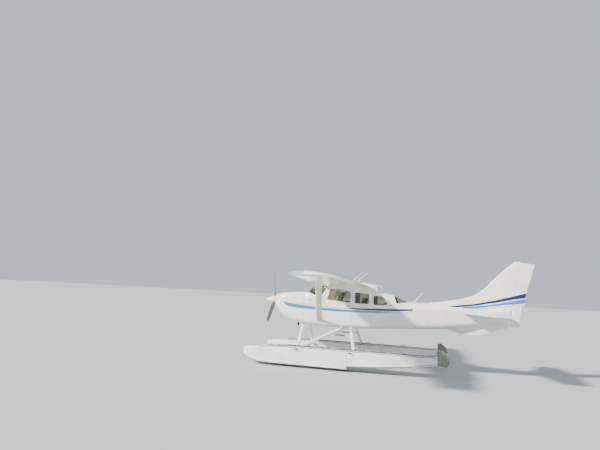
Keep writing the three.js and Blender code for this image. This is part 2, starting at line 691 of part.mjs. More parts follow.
addPart('elevator', geometryOf(joined(torqueTube, ...SIDES.map(elevatorHalf))), 'whitePaint');

// Wing: a cambered section of 12% thickness on tapered panels
const WING = rowsOf(['y', 'leading', 'trailing', 'leadingHeight', 'trailingHeight'], [
  [500, 2100, 3730, 583, 543],
  [2540, 2100, 3730, 645, 605],
  [5330, 2309, 3446, 742, 722],
  [5430, 2345, 3436, 738, 714],
  [HALF_SPAN, 2480, 3400, 722, 704],
]);
const WING_THICKNESS = 0.12;
const TIP_THICKNESS = 0.06;
const SECTION_SHARES = [0, 0.012, 0.05, 0.12, 0.22, 0.35, 0.5, 0.65, 0.8, 1];
function camberAt(share) {
  const camber = 0.02;
  const place = 0.4;
  if (share < place) return (camber / place ** 2) * (2 * place * share - share ** 2);
  return (camber / (1 - place) ** 2) * (1 - 2 * place + 2 * place * share - share ** 2);
}
function halfThicknessAt(share, thickness) {
  const bulge = 0.2969 * Math.sqrt(share) - 0.126 * share - 0.3516 * share ** 2
    + 0.2843 * share ** 3 - 0.1015 * share ** 4;
  return 5 * thickness * bulge;
}
function wingAt(y) {
  const row = Object.fromEntries(['leading', 'trailing', 'leadingHeight', 'trailingHeight']
    .map((column) => [column, between(WING, 'y', column, y)]));
  const chord = row.trailing - row.leading;
  const thickness = y > 5400 ? TIP_THICKNESS * (y === HALF_SPAN ? 0.5 : 1.4) : WING_THICKNESS;
  const surface = (share, sign) => [
    row.leading + share * chord,
    row.leadingHeight + share * (row.trailingHeight - row.leadingHeight)
      + chord * (camberAt(share) + sign * halfThicknessAt(share, thickness)),
  ];
  return { ...row, chord, surface };
}
// A ring of the wing's section from its leading edge back to a share of the chord
function wingRing(y, side, endShare) {
  const { surface } = wingAt(y);
  const shares = SECTION_SHARES.map((share) => share * endShare);
  const upper = shares.map((share) => surface(share, 1));
  const lower = shares.slice(1).reverse().map((share) => surface(share, -1));
  return [...upper, ...lower].map(([x, z]) => new THREE.Vector3(x, side * y, z));
}
// Hinged trailing edges: spans, and the share of the chord where each one starts
const FLAP = { inner: 600, outer: 2520, share: 0.73, drop: 70, setBack: 90 };
const AILERON = { inner: 2575, outer: 5180, share: 0.78 };
const TIP_START = AILERON.outer + END_GAP;
const spanRows = (from, to) => [from, ...WING.map((row) => row.y)
  .filter((y) => y > from && y < to), to];

function hingedSection(y, share) {
  const { surface } = wingAt(y);
  const [x, high] = surface(share, 1);
  const [, low] = surface(share, -1);
  const [tailX, tailHigh] = surface(1, 1);
  const nose = (high - low) / 2;
  const centre = (high + low) / 2;
  const [sternX, sternZ] = [tailX - 1, tailHigh];
  const hingeX = x + nose + HINGE_GAP;
  return { hingeX, centre, nose, sternX, sternZ };
}
function hingedRing(y, side, share) {
  const { hingeX, centre, nose, sternX, sternZ } = hingedSection(y, share);
  const points = [[sternX, sternZ + TRAILING_HALF]];
  for (let i = 0; i <= NOSE_STEPS; i++) {
    const angle = THREE.MathUtils.degToRad(90 + (180 * i) / NOSE_STEPS);
    points.push([hingeX + nose * Math.cos(angle), centre + nose * Math.sin(angle)]);
  }
  points.push([sternX, sternZ - TRAILING_HALF]);
  return points.map(([px, pz]) => new THREE.Vector3(px, side * y, pz));
}
const wings = {};
for (const { name, side } of SIDES) {
  const inner = loft(spanRows(500, 2548).map((y) => wingRing(y, side, FLAP.share)));
  const outer = loft(spanRows(2540, HALF_SPAN).map((y) => wingRing(y, side, AILERON.share)));
  const tip = loft(spanRows(TIP_START, HALF_SPAN).map((y) => wingRing(y, side, 1)));
  wings[name] = joined(solid(inner), solid(outer), solid(tip));
  addPart(`wing_${name}`, geometryOf(cut(wings[name], fuselageSkin)), 'whitePaint');
  for (const [piece, { inner: from, outer: to, share }] of [['flap', FLAP], ['aileron', AILERON]]) {
    const body = loft([from, to].map((y) => hingedRing(y, side, share)));
    addPart(`${piece}_${name}`, body, 'whitePaint');
  }
}

// Wing struts
const WING_STRUT = {
  low: [2020, 540, -575],
  high: [2400, 2560, 660],
  sections: [[0, 190, 66], [0.84, 190, 66], [0.9, 236, 84], [0.935, 330, 118], [1, 330, 118]],
};

// Floats: a flat deck, round shoulders, a chine and a V bottom with a step
const FLOAT_Y = 1180;
const DECK = -1367;
const STEP_STATION = 3120;
const FLOAT_COLUMNS = ['station', 'halfWidth', 'deck', 'chine', 'keel'];
const FOREBODY = rowsOf(FLOAT_COLUMNS, [
  [BOW_STATION, 95, -1532, -1640, -1702],
  [-198, 170, -1506, -1664, -1762],
  [-150, 224, -1486, -1690, -1810],
  [-80, 262, -1470, -1718, -1852],
  [10, 288, -1454, -1752, -1896],
  [110, 302, -1446, -1789, -1925],
  [230, 313, -1435, -1824, -1946],
  [420, 323, -1419, -1862, -1966],
  [900, 332, -1390, -1874, -1981],
  [1450, 335, DECK, -1877, -KEEL_DEPTH],
  [STEP_STATION, 335, DECK, -1877, -KEEL_DEPTH],
]);
const AFTERBODY = rowsOf(FLOAT_COLUMNS, [
  [STEP_STATION - 30, 328, DECK, -1792, -1905],
  [3900, 306, DECK, -1742, -1845],
  [4800, 250, -1370, -1668, -1756],
  [5710, 160, -1376, -1566, -1626],
]);
const SHOULDER = 55;
const KEEL_HALF = 12;
function floatRing(row, side) {
  const round = Math.min(SHOULDER, row.halfWidth * 0.4, (row.deck - row.chine) * 0.5);
  const half = [
    [row.halfWidth - round, row.deck],
    [row.halfWidth - 0.3 * round, row.deck - 0.3 * round],
    [row.halfWidth, row.deck - round],
    [row.halfWidth, row.chine],
    [row.halfWidth * 0.8, row.chine + (row.keel - row.chine) * 0.1],
    [row.halfWidth * 0.45, row.chine + (row.keel - row.chine) * 0.55],
    [KEEL_HALF, row.keel],
  ];
  const mirror = half.map(([y, z]) => [-y, z]).reverse();
  return [...half, ...mirror].map(([y, z]) => new THREE.Vector3(
    row.station, side * FLOAT_Y + y, z));
}
const STERN_STATION = AFTERBODY[AFTERBODY.length - 1].station;
const floats = {};

// Round hatch covers and mooring cleats on each float's deck
const HATCH = { stations: [820, 2150, 2650, 3700, 4350], radius: 105, rise: 8, sides: 16 };
const CLEAT = {
  stations: [60, 3420, 4630], postLength: 60, postWidth: 24, postHeight: 34,
  hornLength: 180, hornWidth: 26, hornHeight: 16,
};
const SUNK = 12;
function deckAt(station) {
  const rows = station < STEP_STATION ? FOREBODY : AFTERBODY;
  return between(rows, 'station', 'deck', station);
}
function hatch(station, y) {
  const height = HATCH.rise + SUNK;
  const geometry = new THREE.CylinderGeometry(HATCH.radius, HATCH.radius, height, HATCH.sides);
  geometry.rotateX(Math.PI / 2);
  geometry.translate(station, y, deckAt(station) + (HATCH.rise - SUNK) / 2);
  return solid(geometry);
}
function cleat(station, y) {
  const deck = deckAt(station);
  const shaped = (length, width, low, high) => box(station - length / 2, station + length / 2,
    y - width / 2, y + width / 2, low, high);
  const hornLow = deck + CLEAT.postHeight;
  return joined(
    shaped(CLEAT.postLength, CLEAT.postWidth, deck - SUNK, hornLow + 1),
    shaped(CLEAT.hornLength, CLEAT.hornWidth, hornLow, hornLow + CLEAT.hornHeight));
}
for (const { name, side } of SIDES) {
  floats[name] = joined(
    solid(loft(FOREBODY.map((row) => floatRing(row, side)))),
    solid(loft(AFTERBODY.map((row) => floatRing(row, side)))),
  );
}

// Float struts, spreader bars and foot steps, trimmed where they meet the hulls
const FLOAT_STRUT = { chord: 92, thickness: 42 };
const FLOAT_STRUTS = [
  { name: 'front_strut', top: [1475, 420, -690], foot: [1470, 1000, -1380] },
  { name: 'rear_strut', top: [3050, 470, -700], foot: [3240, 1000, -1380] },
  { name: 'diagonal_strut', top: [2890, 470, -710], foot: [1560, 1000, -1380] },
];
// The room kept clear ahead of the diagonal strut's foot, for the front strut
const FRONT_STRUT_ROOM = { front: 1322, back: 1522, outer: 1100, low: -1420, high: -1160 };
const lowered = (body, gap) => body.translate([0, 0, -gap]);
const raised = (body, gap) => body.translate([0, 0, gap]);
const frontStrutRoom = box(FRONT_STRUT_ROOM.front, FRONT_STRUT_ROOM.back,
  -FRONT_STRUT_ROOM.outer, FRONT_STRUT_ROOM.outer, FRONT_STRUT_ROOM.low, FRONT_STRUT_ROOM.high);
const struts = {};
for (const { name, side } of SIDES) {
  const wingStrut = cut(
    shapedBar(mirrored(WING_STRUT.low, side), mirrored(WING_STRUT.high, side),
      WING_STRUT.sections),
    fuselageSkin, lowered(wings[name], TOUCH_GAP), wings[name]);
  addPart(`wing_strut_${name}`, geometryOf(wingStrut), 'greyPaint');
  for (const { name: piece, top, foot } of FLOAT_STRUTS) {
    const strut = cut(
      bar(mirrored(top, side), mirrored(foot, side), FLOAT_STRUT.chord, FLOAT_STRUT.thickness),
      fuselageSkin, raised(floats[name], TOUCH_GAP), floats[name]);
    const trimmed = piece === 'diagonal_strut' ? cut(strut, frontStrutRoom) : strut;
    struts[`${piece}_${name}`] = trimmed;
    addPart(`${piece}_${name}`, geometryOf(trimmed), 'whitePaint');
  }
}
const SPREADERS = [
  { name: 'spreader_bar_front', station: 1560 },
  { name: 'spreader_bar_rear', station: 3180 },
];
const SPREADER = { height: -1445, halfLength: FLOAT_Y - 335 - TOUCH_GAP, chord: 96, thickness: 46 };
for (const { name, station } of SPREADERS) {
  const ends = [-1, 1].map((side) => [station, side * SPREADER.halfLength, SPREADER.height]);
  addPart(name, geometryOf(bar(ends[0], ends[1], SPREADER.chord, SPREADER.thickness)), 'whitePaint');
}
const FOOT_STEP = { front: [2340, 690, -985], back: [3130, 690, -985], radius: 15 };
for (const { name, side } of SIDES) {
  const rod = bar(mirrored(FOOT_STEP.front, side), mirrored(FOOT_STEP.back, side),
    2 * FOOT_STEP.radius, 2 * FOOT_STEP.radius);
  const diagonal = struts[`diagonal_strut_${name}`];
  const rear = struts[`rear_strut_${name}`];
  const trimmed = cut(rod, diagonal, diagonal.translate([TOUCH_GAP, 0, TOUCH_GAP]), rear,
    rear.translate([-TOUCH_GAP, 0, 0]));
  addPart(`foot_step_${name}`, geometryOf(trimmed), 'steel');
}

// Water rudders on posts, each held by two plates at its float's stern
const WATER_RUDDER = { station: 5765, postRadius: 15, top: -1180, bottom: -1640, half: 6 };
const WATER_BLADE = [
  [5765, -1200, 5], [5850, -1170, 20], [6010, -1290, 40], [6085, -1470, 60], [6010, -1650, 60],
  [5800, -1620, 30], [5765, -1560, 5],
];
const BRACKET = { heights: [-1405, -1500], thickness: 12, half: 30, hole: 19, reach: 32 };
const BRACKET_NOTCH = { front: 13, half: 14, back: 20 };
function postAt(y, radius, bottom, top) {
  const geometry = new THREE.CylinderGeometry(radius, radius, top - bottom, 16);
  geometry.rotateX(Math.PI / 2).translate(WATER_RUDDER.station, y, (top + bottom) / 2);
  return solid(geometry);
}
for (const { name, side } of SIDES) {
  const y = side * FLOAT_Y;
  const plateEnd = WATER_RUDDER.station + BRACKET.reach;
  const post = postAt(y, WATER_RUDDER.postRadius, WATER_RUDDER.bottom, WATER_RUDDER.top);
  const bladeSlab = alongY(WATER_BLADE, y - WATER_RUDDER.half, y + WATER_RUDDER.half);
  const notches = BRACKET.heights.map((height) => box(
    WATER_RUDDER.station + BRACKET_NOTCH.front, plateEnd + BRACKET_NOTCH.back, y - BRACKET.half,
    y + BRACKET.half, height - BRACKET_NOTCH.half, height + BRACKET_NOTCH.half));
  addPart(`water_rudder_${name}`, geometryOf(joined(post, cut(bladeSlab, ...notches))), 'greyPaint');
  const plates = BRACKET.heights.map((height) => box(STERN_STATION - 20, plateEnd,
    y - BRACKET.half, y + BRACKET.half, height - BRACKET.thickness / 2,
    height + BRACKET.thickness / 2));
  const postHole = postAt(y, BRACKET.hole, -1700, -1100);
  const fittings = [
    ...HATCH.stations.map((station) => hatch(station, y)),
    ...CLEAT.stations.map((station) => cleat(station, y)),
  ];
  const hull = joined(floats[name], cut(joined(...plates), postHole), ...fittings);
  addPart(`float_${name}`, geometryOf(hull), 'floatPaint');
}

// Whip aerials on the roof and the tail cone
const AERIALS = [
  { name: 'aerial_roof_front', foot: [2920, -90, 660], tip: [3330, -90, 1050] },
  { name: 'aerial_roof_rear', foot: [3050, 90, 660], tip: [3460, 90, 1040] },
  { name: 'aerial_tail', foot: [4960, 0, 120], tip: [5250, 0, 460] },
];
const AERIAL_RADIUS = 5;
for (const { name, foot, tip } of AERIALS) {
  const whip = bar(foot, tip, 2 * AERIAL_RADIUS, 2 * AERIAL_RADIUS);
  addPart(name, geometryOf(cut(whip, fuselageSkin)), 'whitePaint');
}

export default aircraft;
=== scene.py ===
"""High-wing utility floatplane: the finished surfaces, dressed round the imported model.

Sizes are in millimetres in the drawing's own frame: stations run aft from the spinner's tip,
butt lines run to starboard and heights run up from the thrust line. The function at() turns
them into the row frame, which is in metres with the floor at zero.
"""

import json
import logging
import math
from collections.abc import Callable
from dataclasses import dataclass
from enum import Enum

import bpy
from mathutils import Matrix, Vector

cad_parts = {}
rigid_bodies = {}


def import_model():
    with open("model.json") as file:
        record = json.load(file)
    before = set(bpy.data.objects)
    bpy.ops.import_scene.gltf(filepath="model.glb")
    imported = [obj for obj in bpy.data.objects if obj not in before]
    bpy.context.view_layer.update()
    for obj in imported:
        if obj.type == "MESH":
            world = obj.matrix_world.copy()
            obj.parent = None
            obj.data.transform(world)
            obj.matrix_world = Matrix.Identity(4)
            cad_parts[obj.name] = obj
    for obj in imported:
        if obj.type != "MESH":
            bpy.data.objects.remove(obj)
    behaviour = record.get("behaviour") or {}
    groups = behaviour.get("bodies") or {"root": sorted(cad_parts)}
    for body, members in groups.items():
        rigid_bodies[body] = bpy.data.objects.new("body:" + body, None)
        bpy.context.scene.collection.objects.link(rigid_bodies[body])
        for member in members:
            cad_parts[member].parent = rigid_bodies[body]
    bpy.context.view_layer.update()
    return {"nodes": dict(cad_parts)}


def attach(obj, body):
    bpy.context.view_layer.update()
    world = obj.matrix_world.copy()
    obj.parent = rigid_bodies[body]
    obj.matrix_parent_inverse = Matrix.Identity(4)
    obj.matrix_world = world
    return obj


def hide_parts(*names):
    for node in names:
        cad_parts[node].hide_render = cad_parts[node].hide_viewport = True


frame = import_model()
log = logging.getLogger("floatplane")

MM = 0.001
ORIGIN_STATION = 4177.5
KEEL_DEPTH = 1985.0
PORT, STARBOARD = -1, 1
SIDES = {"port": PORT, "starboard": STARBOARD}
AIRFRAME = "airframe"
Point2, Colour = tuple[float, float], tuple[float, float, float, float]
Piece, Face = bpy.types.Object, bpy.types.MeshPolygon
Tree, Node, Socket = bpy.types.NodeTree, bpy.types.Node, bpy.types.NodeSocket
AFT, ACROSS, UP = Vector((1, 0, 0)), Vector((0, 1, 0)), Vector((0, 0, 1))


def at(station: float, butt: float, height: float) -> Vector:
    """A place on the drawing as a point of the row frame, in metres."""
    return Vector(((station - ORIGIN_STATION) * MM, butt * MM, (height + KEEL_DEPTH) * MM))


def station_of(point: Vector) -> float:
    """The station of a point in the row frame."""
    return point.x / MM + ORIGIN_STATION


class FairLine:
    """A fair line through a few points, like a batten that never swings past its pins."""

    def __init__(self, points: list[Point2]) -> None:
        """Takes the pins.

        Args:
            points: (along, value) pairs in rising order.
        """
        self.along = [p[0] for p in points]
        self.value = [p[1] for p in points]
        steps = [b - a for a, b in zip(self.along, self.along[1:])]
        rises = [(b - a) / h for a, b, h in zip(self.value, self.value[1:], steps)]
        inner = []
        for before, after, h0, h1 in zip(rises, rises[1:], steps, steps[1:]):
            if before * after <= 0:
                inner.append(0.0)
                continue
            w0, w1 = 2 * h1 + h0, h1 + 2 * h0
            inner.append((w0 + w1) / (w0 / before + w1 / after))
        self.slope = [rises[0], *inner, rises[-1]]

    def __call__(self, where: float) -> float:
        """The line's value at a place, held level past its ends."""
        if where <= self.along[0]:
            return self.value[0]
        if where >= self.along[-1]:
            return self.value[-1]
        i = max(k for k, x in enumerate(self.along) if x <= where)
        h = self.along[i + 1] - self.along[i]
        t = (where - self.along[i]) / h
        low, high = self.value[i], self.value[i + 1]
        t2, t3 = t * t, t * t * t
        return (low * (2 * t3 - 3 * t2 + 1) + high * (3 * t2 - 2 * t3)
                + h * (self.slope[i] * (t3 - 2 * t2 + t) + self.slope[i + 1] * (t3 - t2)))


def spread(low: float, high: float, count: int) -> list[float]:
    """Evenly spaced values from low to high, both included."""
    return [low + (high - low) * i / (count - 1) for i in range(count)]


def around(count: int) -> list[float]:
    """Even angles round a full turn."""
    return [2 * math.pi * k / count for k in range(count)]


# Modelling tools

def deselect() -> None:
    """Leaves edit mode and clears the selection."""
    if bpy.context.object and bpy.context.object.mode != "OBJECT":
        bpy.ops.object.mode_set(mode="OBJECT")
    bpy.ops.object.select_all(action="DESELECT")


def pick(*objects: Piece) -> None:
    """Selects these objects only and makes the first one active."""
    deselect()
    for piece in objects:
        piece.select_set(True)
    bpy.context.view_layer.objects.active = objects[0]


def named(name: str) -> Piece:
    """Names the primitive that was just added and gives it back."""
    piece = bpy.context.object
    piece.name = name
    piece.data.name = name
    return piece


def edit(piece: Piece) -> None:
    """Opens a piece in edit mode with all of it selected."""
    pick(piece)
    bpy.ops.object.mode_set(mode="EDIT")
    bpy.ops.mesh.select_all(action="SELECT")


def close_edit() -> None:
    """Goes back to object mode."""
    bpy.ops.object.mode_set(mode="OBJECT")


def tidy(piece: Piece, merge: float = 1e-5) -> Piece:
    """Merges doubled points and turns every face outwards."""
    edit(piece)
    bpy.ops.mesh.remove_doubles(threshold=merge)
    bpy.ops.mesh.normals_make_consistent(inside=False)
    close_edit()
    return piece


def modify(piece: Piece, kind: str, **settings) -> Piece:
    """Adds a modifier with its settings and applies it."""
    pick(piece)
    modifier = piece.modifiers.new(kind.title(), kind)
    for name, value in settings.items():
        setattr(modifier, name, value)
    bpy.ops.object.modifier_apply(modifier=modifier.name)
    return piece


def smooth(piece: Piece, angle: float = 35.0) -> Piece:
    """Shades a piece smooth with creases past an angle in degrees."""
    pick(piece)
    bpy.ops.object.shade_smooth_by_angle(angle=math.radians(angle))
    return piece


def duplicate(piece: Piece, name: str) -> Piece:
    """Copies a piece with a mesh of its own."""
    copy = piece.copy()
    copy.data = piece.data.copy()
    copy.name = copy.data.name = name
    bpy.context.scene.collection.objects.link(copy)
    return copy


def drop(*objects: Piece) -> None:
    """Deletes helper objects."""
    for piece in objects:
        bpy.data.objects.remove(piece)


def carve(piece: Piece, cutters: list[Piece], how: str = "DIFFERENCE") -> Piece:
    """Cuts a closed piece with closed cutters, one after another, and deletes them."""
    for cutter in cutters:
        modify(piece, "BOOLEAN", operation=how, solver="MANIFOLD", object=cutter)
        drop(cutter)
    return piece


def fuse(name: str, objects: list[Piece]) -> Piece:
    """Joins loose meshes into one piece."""
    pick(*objects)
    if len(objects) > 1:
        bpy.ops.object.join()
    return named(name)


def grid_skin(name: str, places: list[list[Vector]], loop_rows: bool = False) -> Piece:
    """Lays a fine net of faces through rows of points, each row closed on itself.

    Args:
        name: the piece's name.
        places: rows of points, all rows of one length, in the row frame.
        loop_rows: closes the last row on the first.

    Returns:
        The piece with its faces outwards.
    """
    rows, columns = len(places) - (0 if loop_rows else 1), len(places[0])
    deselect()
    bpy.ops.mesh.primitive_grid_add(x_subdivisions=rows, y_subdivisions=columns, size=1)
    piece = named(name)
    for vertex in piece.data.vertices:
        i = round((vertex.co.x + 0.5) * rows) % len(places)
        k = round((vertex.co.y + 0.5) * columns) % len(places[0])
        vertex.co = places[i][k]
    return tidy(piece)


def cap_ends(piece: Piece) -> Piece:
    """Closes the open ends of a skin."""
    edit(piece)
    bpy.ops.mesh.select_all(action="DESELECT")
    bpy.ops.mesh.select_mode(type="EDGE")
    bpy.ops.mesh.select_non_manifold()
    bpy.ops.mesh.fill_holes(sides=0)
    bpy.ops.mesh.select_mode(type="VERT")
    close_edit()
    return tidy(piece)


def rounded(corners: list[tuple], radius: float = 0.0, steps: int = 7) -> list[Point2]:
    """An outline with its corners rounded; a corner is (x, y) or (x, y, radius)."""
    points = []
    count = len(corners)
    for i, corner in enumerate(corners):
        here = Vector(corner[:2])
        before = Vector(corners[i - 1][:2])
        after = Vector(corners[(i + 1) % count][:2])
        reach = corner[2] if len(corner) > 2 else radius
        if reach <= 0:
            points.append(tuple(here))
            continue
        start = here + (before - here).normalized() * reach
        end = here + (after - here).normalized() * reach
        for k in range(steps + 1):
            t = k / steps
            points.append(tuple(start * (1 - t) ** 2 + here * (2 * t * (1 - t)) + end * t * t))
    return points


def shrunk(corners: list[tuple], gap: float) -> list[tuple]:
    """An outline moved inwards by a gap, or outwards where the gap is negative."""
    count = len(corners)
    area = sum(corners[i][0] * corners[(i + 1) % count][1]
               - corners[(i + 1) % count][0] * corners[i][1] for i in range(count))
    turn = 1 if area > 0 else -1
    moved = []
    for i, corner in enumerate(corners):
        here = Vector(corner[:2])
        sides = [here - Vector(corners[i - 1][:2]), Vector(corners[(i + 1) % count][:2]) - here]
        normals = [Vector((-s.y, s.x)).normalized() * turn for s in sides]
        bisector = normals[0] + normals[1]
        shift = bisector * (2 * gap / bisector.length_squared)
        moved.append((here.x + shift.x, here.y + shift.y, corner[2] if len(corner) > 2 else 0))
    return moved


def slab(name: str, points: list[Vector], way: Vector) -> Piece:
    """A flat outline of points in the row frame, extruded along a vector in metres."""
    deselect()
    bpy.ops.mesh.primitive_circle_add(vertices=len(points), fill_type="NGON")
    piece = named(name)
    for vertex, point in zip(piece.data.vertices, points):
        vertex.co = point
    edit(piece)
    bpy.ops.mesh.extrude_region_move(TRANSFORM_OT_translate={"value": tuple(way)})
    close_edit()
    return tidy(piece)


def side_prism(name: str, outline: list[tuple], low: float, high: float) -> Piece:
    """A side-view outline of (station, height) run across from one butt line to another."""
    points = [at(x, low, z) for x, z in rounded(outline)]
    return slab(name, points, Vector((0, (high - low) * MM, 0)))


def block(name: str, low: Vector, high: Vector) -> Piece:
    """A box between two corners in the row frame."""
    deselect()
    bpy.ops.mesh.primitive_cube_add(size=1)
    piece = named(name)
    size = high - low
    piece.data.transform(Matrix.Translation((low + high) / 2) @ Matrix.Diagonal((*size, 1)))
    return piece


def ellipsoid(name: str, centre: Vector, radii: tuple, segments: int, rings: int) -> Piece:
    """An ellipsoid round a point in the row frame; its radii are in metres."""
    deselect()
    bpy.ops.mesh.primitive_uv_sphere_add(segments=segments, ring_count=rings, radius=1)
    piece = named(name)
    piece.data.transform(Matrix.Translation(centre) @ Matrix.Diagonal((*radii, 1)))
    return piece


def turned_frame(start: Vector, end: Vector, guide: Vector) -> Matrix:
    """A matrix at start with Z towards end and X as near the guide as it can be."""
    z = (end - start).normalized()
    x = (guide - z * guide.dot(z)).normalized()
    y = z.cross(x)
    turn = Matrix((x, y, z)).transposed().to_4x4()
    return Matrix.Translation(start) @ turn


def rod(name: str, start: Vector, end: Vector, wide: float, thick: float = 0.0,
        sides: int = 20, guide: Vector = Vector((1, 0, 0.02))) -> Piece:
    """A round or oval rod between two points; wide and thick are full widths in metres."""
    deselect()
    bpy.ops.mesh.primitive_cylinder_add(vertices=sides, radius=0.5, depth=1)
    piece = named(name)
    shape = Matrix.Diagonal((wide, thick or wide, (end - start).length, 1))
    piece.data.transform(Matrix.Translation((0, 0, 0.5)))
    piece.data.transform(turned_frame(start, end, guide) @ shape)
    return piece


def tube(name: str, path: list[Vector], radius: float, sides: int = 8) -> Piece:
    """A thin round tube along points in the row frame, its ends closed."""
    curve = bpy.data.curves.new(name, "CURVE")
    curve.dimensions = "3D"
    spline = curve.splines.new("POLY")
    spline.points.add(len(path) - 1)
    for point, place in zip(spline.points, path):
        point.co = (*place, 1)
    curve.bevel_depth = radius
    curve.bevel_resolution = max(sides // 4 - 1, 0)
    curve.use_fill_caps = True
    piece = bpy.data.objects.new(name, curve)
    bpy.context.scene.collection.objects.link(piece)
    pick(piece)
    bpy.ops.object.convert(target="MESH")
    return tidy(named(name))


def ring_tube(name: str, path: list[Vector], radius: float, sides: int = 8) -> Piece:
    """A thin round tube along a closed path."""
    rows = []
    count = len(path)
    for i, here in enumerate(path):
        ahead = (path[(i + 1) % count] - path[i - 1]).normalized()
        side = ahead.cross(Vector((0, 0.99, 0.1))).normalized()
        up = side.cross(ahead)
        rows.append([here + (side * math.cos(a) + up * math.sin(a)) * radius
                     for a in around(sides)])
    return grid_skin(name, rows, loop_rows=True)


def bevel(piece: Piece, width: float, segments: int = 2, angle: float = 30.0) -> Piece:
    """Rounds the edges sharper than an angle; width is in metres."""
    modify(piece, "BEVEL", width=width, segments=segments, limit_method="ANGLE",
           angle_limit=math.radians(angle), harden_normals=False)
    return smooth(piece, 40)


# Finishes

def linear(code: str) -> Colour:
    """An sRGB hex colour as the linear colour that a shader socket takes."""
    values = [int(code[i:i + 2], 16) / 255 for i in (1, 3, 5)]
    return (*[v / 12.92 if v <= 0.04045 else ((v + 0.055) / 1.055) ** 2.4 for v in values], 1.0)


def add_node(tree: Tree, kind: str, inputs: dict | None = None, **settings) -> Node:
    """Adds a shader node with its settings, and fills or links its inputs."""
    node = tree.nodes.new("ShaderNode" + kind)
    for name, value in settings.items():
        setattr(node, name, value)
    for name, value in (inputs or {}).items():
        socket = node.inputs[name]
        if isinstance(value, Socket):
            tree.links.new(value, socket)
        else:
            socket.default_value = value
    return node


def blank_material(name: str) -> tuple[bpy.types.Material, Tree]:
    """A new material with its empty node tree."""
    material = bpy.data.materials.new(name)
    material.use_nodes = True
    material.node_tree.nodes.clear()
    return material, material.node_tree


BRUSH_STRETCH = (1.0, 14.0, 14.0)


class Pattern(Enum):
    """The fine pattern that a surface shows."""

    PEEL = "sprayed paint's faint orange peel"
    CAST = "cast or moulded skin"
    BRUSHED = "brushing lines along the piece"
    WOVEN = "woven thread"
    GRIT = "sand thrown into wet paint"


@dataclass(frozen=True)
class Stripe:
    """A painted band on both sides, between an upper and a lower line of (station, height)."""

    colour: str
    upper: tuple
    lower: tuple
    fade: tuple = ()


@dataclass(frozen=True)
class Finish:
    """What a surface is made of and how it was made."""

    name: str
    colour: str
    second: str
    roughness: float
    metallic: float = 0.0
    coat: float = 0.0
    ior: float = 1.45
    pattern: Pattern = Pattern.PEEL
    grain_mm: float = 3.0
    grain_depth: float = 0.05
    blotch_mm: float = 500.0
    stripes: tuple = ()
    seams: tuple = ()

    def build(self) -> bpy.types.Material:
        """Makes the material, once for each name."""
        found = bpy.data.materials.get(self.name)
        if found:
            return found
        material, tree = blank_material(self.name)
        where = add_node(tree, "TexCoord").outputs["Object"]
        colour = self.body_colour(tree, where)
        shader = add_node(tree, "BsdfPrincipled", {
            "Metallic": self.metallic, "Coat Weight": self.coat, "Coat Roughness": 0.06})
        if not self.metallic:
            shader.inputs["IOR"].default_value = self.ior
        for stripe in self.stripes:
            mask = stripe_mask(tree, where, stripe)
            colour = blend_colour(tree, mask, colour, linear(stripe.colour))
        if self.seams:
            mask = seam_mask(tree, where, self.seams)
            colour = blend_colour(tree, mask, colour, linear("#8f9092"), 0.55)
        tree.links.new(colour, shader.inputs["Base Color"])
        self.surface(tree, where, shader)
        add_node(tree, "OutputMaterial", {"Surface": shader.outputs["BSDF"]})
        return material

    def body_colour(self, tree: Tree, where: Socket) -> Socket:
        """Two near colours in soft blotches, as weather and handling leave them."""
        scale = 1000.0 / self.blotch_mm
        noise = add_node(tree, "TexNoise", {
            "Vector": where, "Scale": scale, "Detail": 6.0, "Roughness": 0.6})
        ramp = add_node(tree, "MapRange", {
            "Value": noise.outputs["Fac"], "From Min": 0.42, "From Max": 0.72})
        return blend_colour(tree, ramp.outputs["Result"], linear(self.colour),
                            linear(self.second))

    def surface(self, tree: Tree, where: Socket, shader: Node) -> None:
        """Adds the roughness variation and the fine relief."""
        scale = 1000.0 / self.grain_mm
        along = BRUSH_STRETCH if self.pattern is Pattern.BRUSHED else (1.0, 1.0, 1.0)
        mapping = add_node(tree, "Mapping", {"Vector": where, "Scale": along})
        if self.pattern is Pattern.WOVEN:
            waves = [add_node(tree, "TexWave", {
                "Vector": mapping.outputs["Vector"], "Scale": scale / 6.3, "Distortion": 0.6},
                wave_type="BANDS", bands_direction=axis).outputs["Fac"] for axis in "XYZ"]
            pair = add_node(tree, "Math", {0: waves[0], 1: waves[1]}, operation="MULTIPLY")
            fine = add_node(tree, "Math", {0: pair.outputs[0], 1: waves[2]}, operation="ADD")
            height = fine.outputs[0]
        else:
            fine = add_node(tree, "TexNoise", {
                "Vector": mapping.outputs["Vector"], "Scale": scale, "Detail": 3.0})
            height = fine.outputs["Fac"]
        bump = add_node(tree, "Bump", {
            "Height": height, "Strength": self.grain_depth,
            "Distance": self.grain_mm * MM * 0.5})
        tree.links.new(bump.outputs["Normal"], shader.inputs["Normal"])
        smudge = add_node(tree, "TexNoise", {"Vector": where, "Scale": 7.0, "Detail": 5.0})
        rough = add_node(tree, "MapRange", {
            "Value": smudge.outputs["Fac"], "From Min": 0.3, "From Max": 0.75,
            "To Min": self.roughness * 0.85, "To Max": min(self.roughness * 1.3, 1.0)})
        tree.links.new(rough.outputs["Result"], shader.inputs["Roughness"])


def blend_colour(tree: Tree, mask: Socket, low: Socket | Colour, high: Colour,
                 strength: float = 1.0) -> Socket:
    """Mixes two colours by a mask."""
    if strength < 1.0:
        mask = add_node(tree, "Math", {0: mask, 1: strength}, operation="MULTIPLY").outputs[0]
    node = add_node(tree, "Mix", {0: mask}, data_type="RGBA")
    for socket, value in ((node.inputs[6], low), (node.inputs[7], high)):
        if isinstance(value, Socket):
            tree.links.new(value, socket)
        else:
            socket.default_value = value
    return node.outputs[2]


STRIPE_FLOOR, STRIPE_CEILING = -400.0, 1700.0
STRIPE_EDGE = 0.006


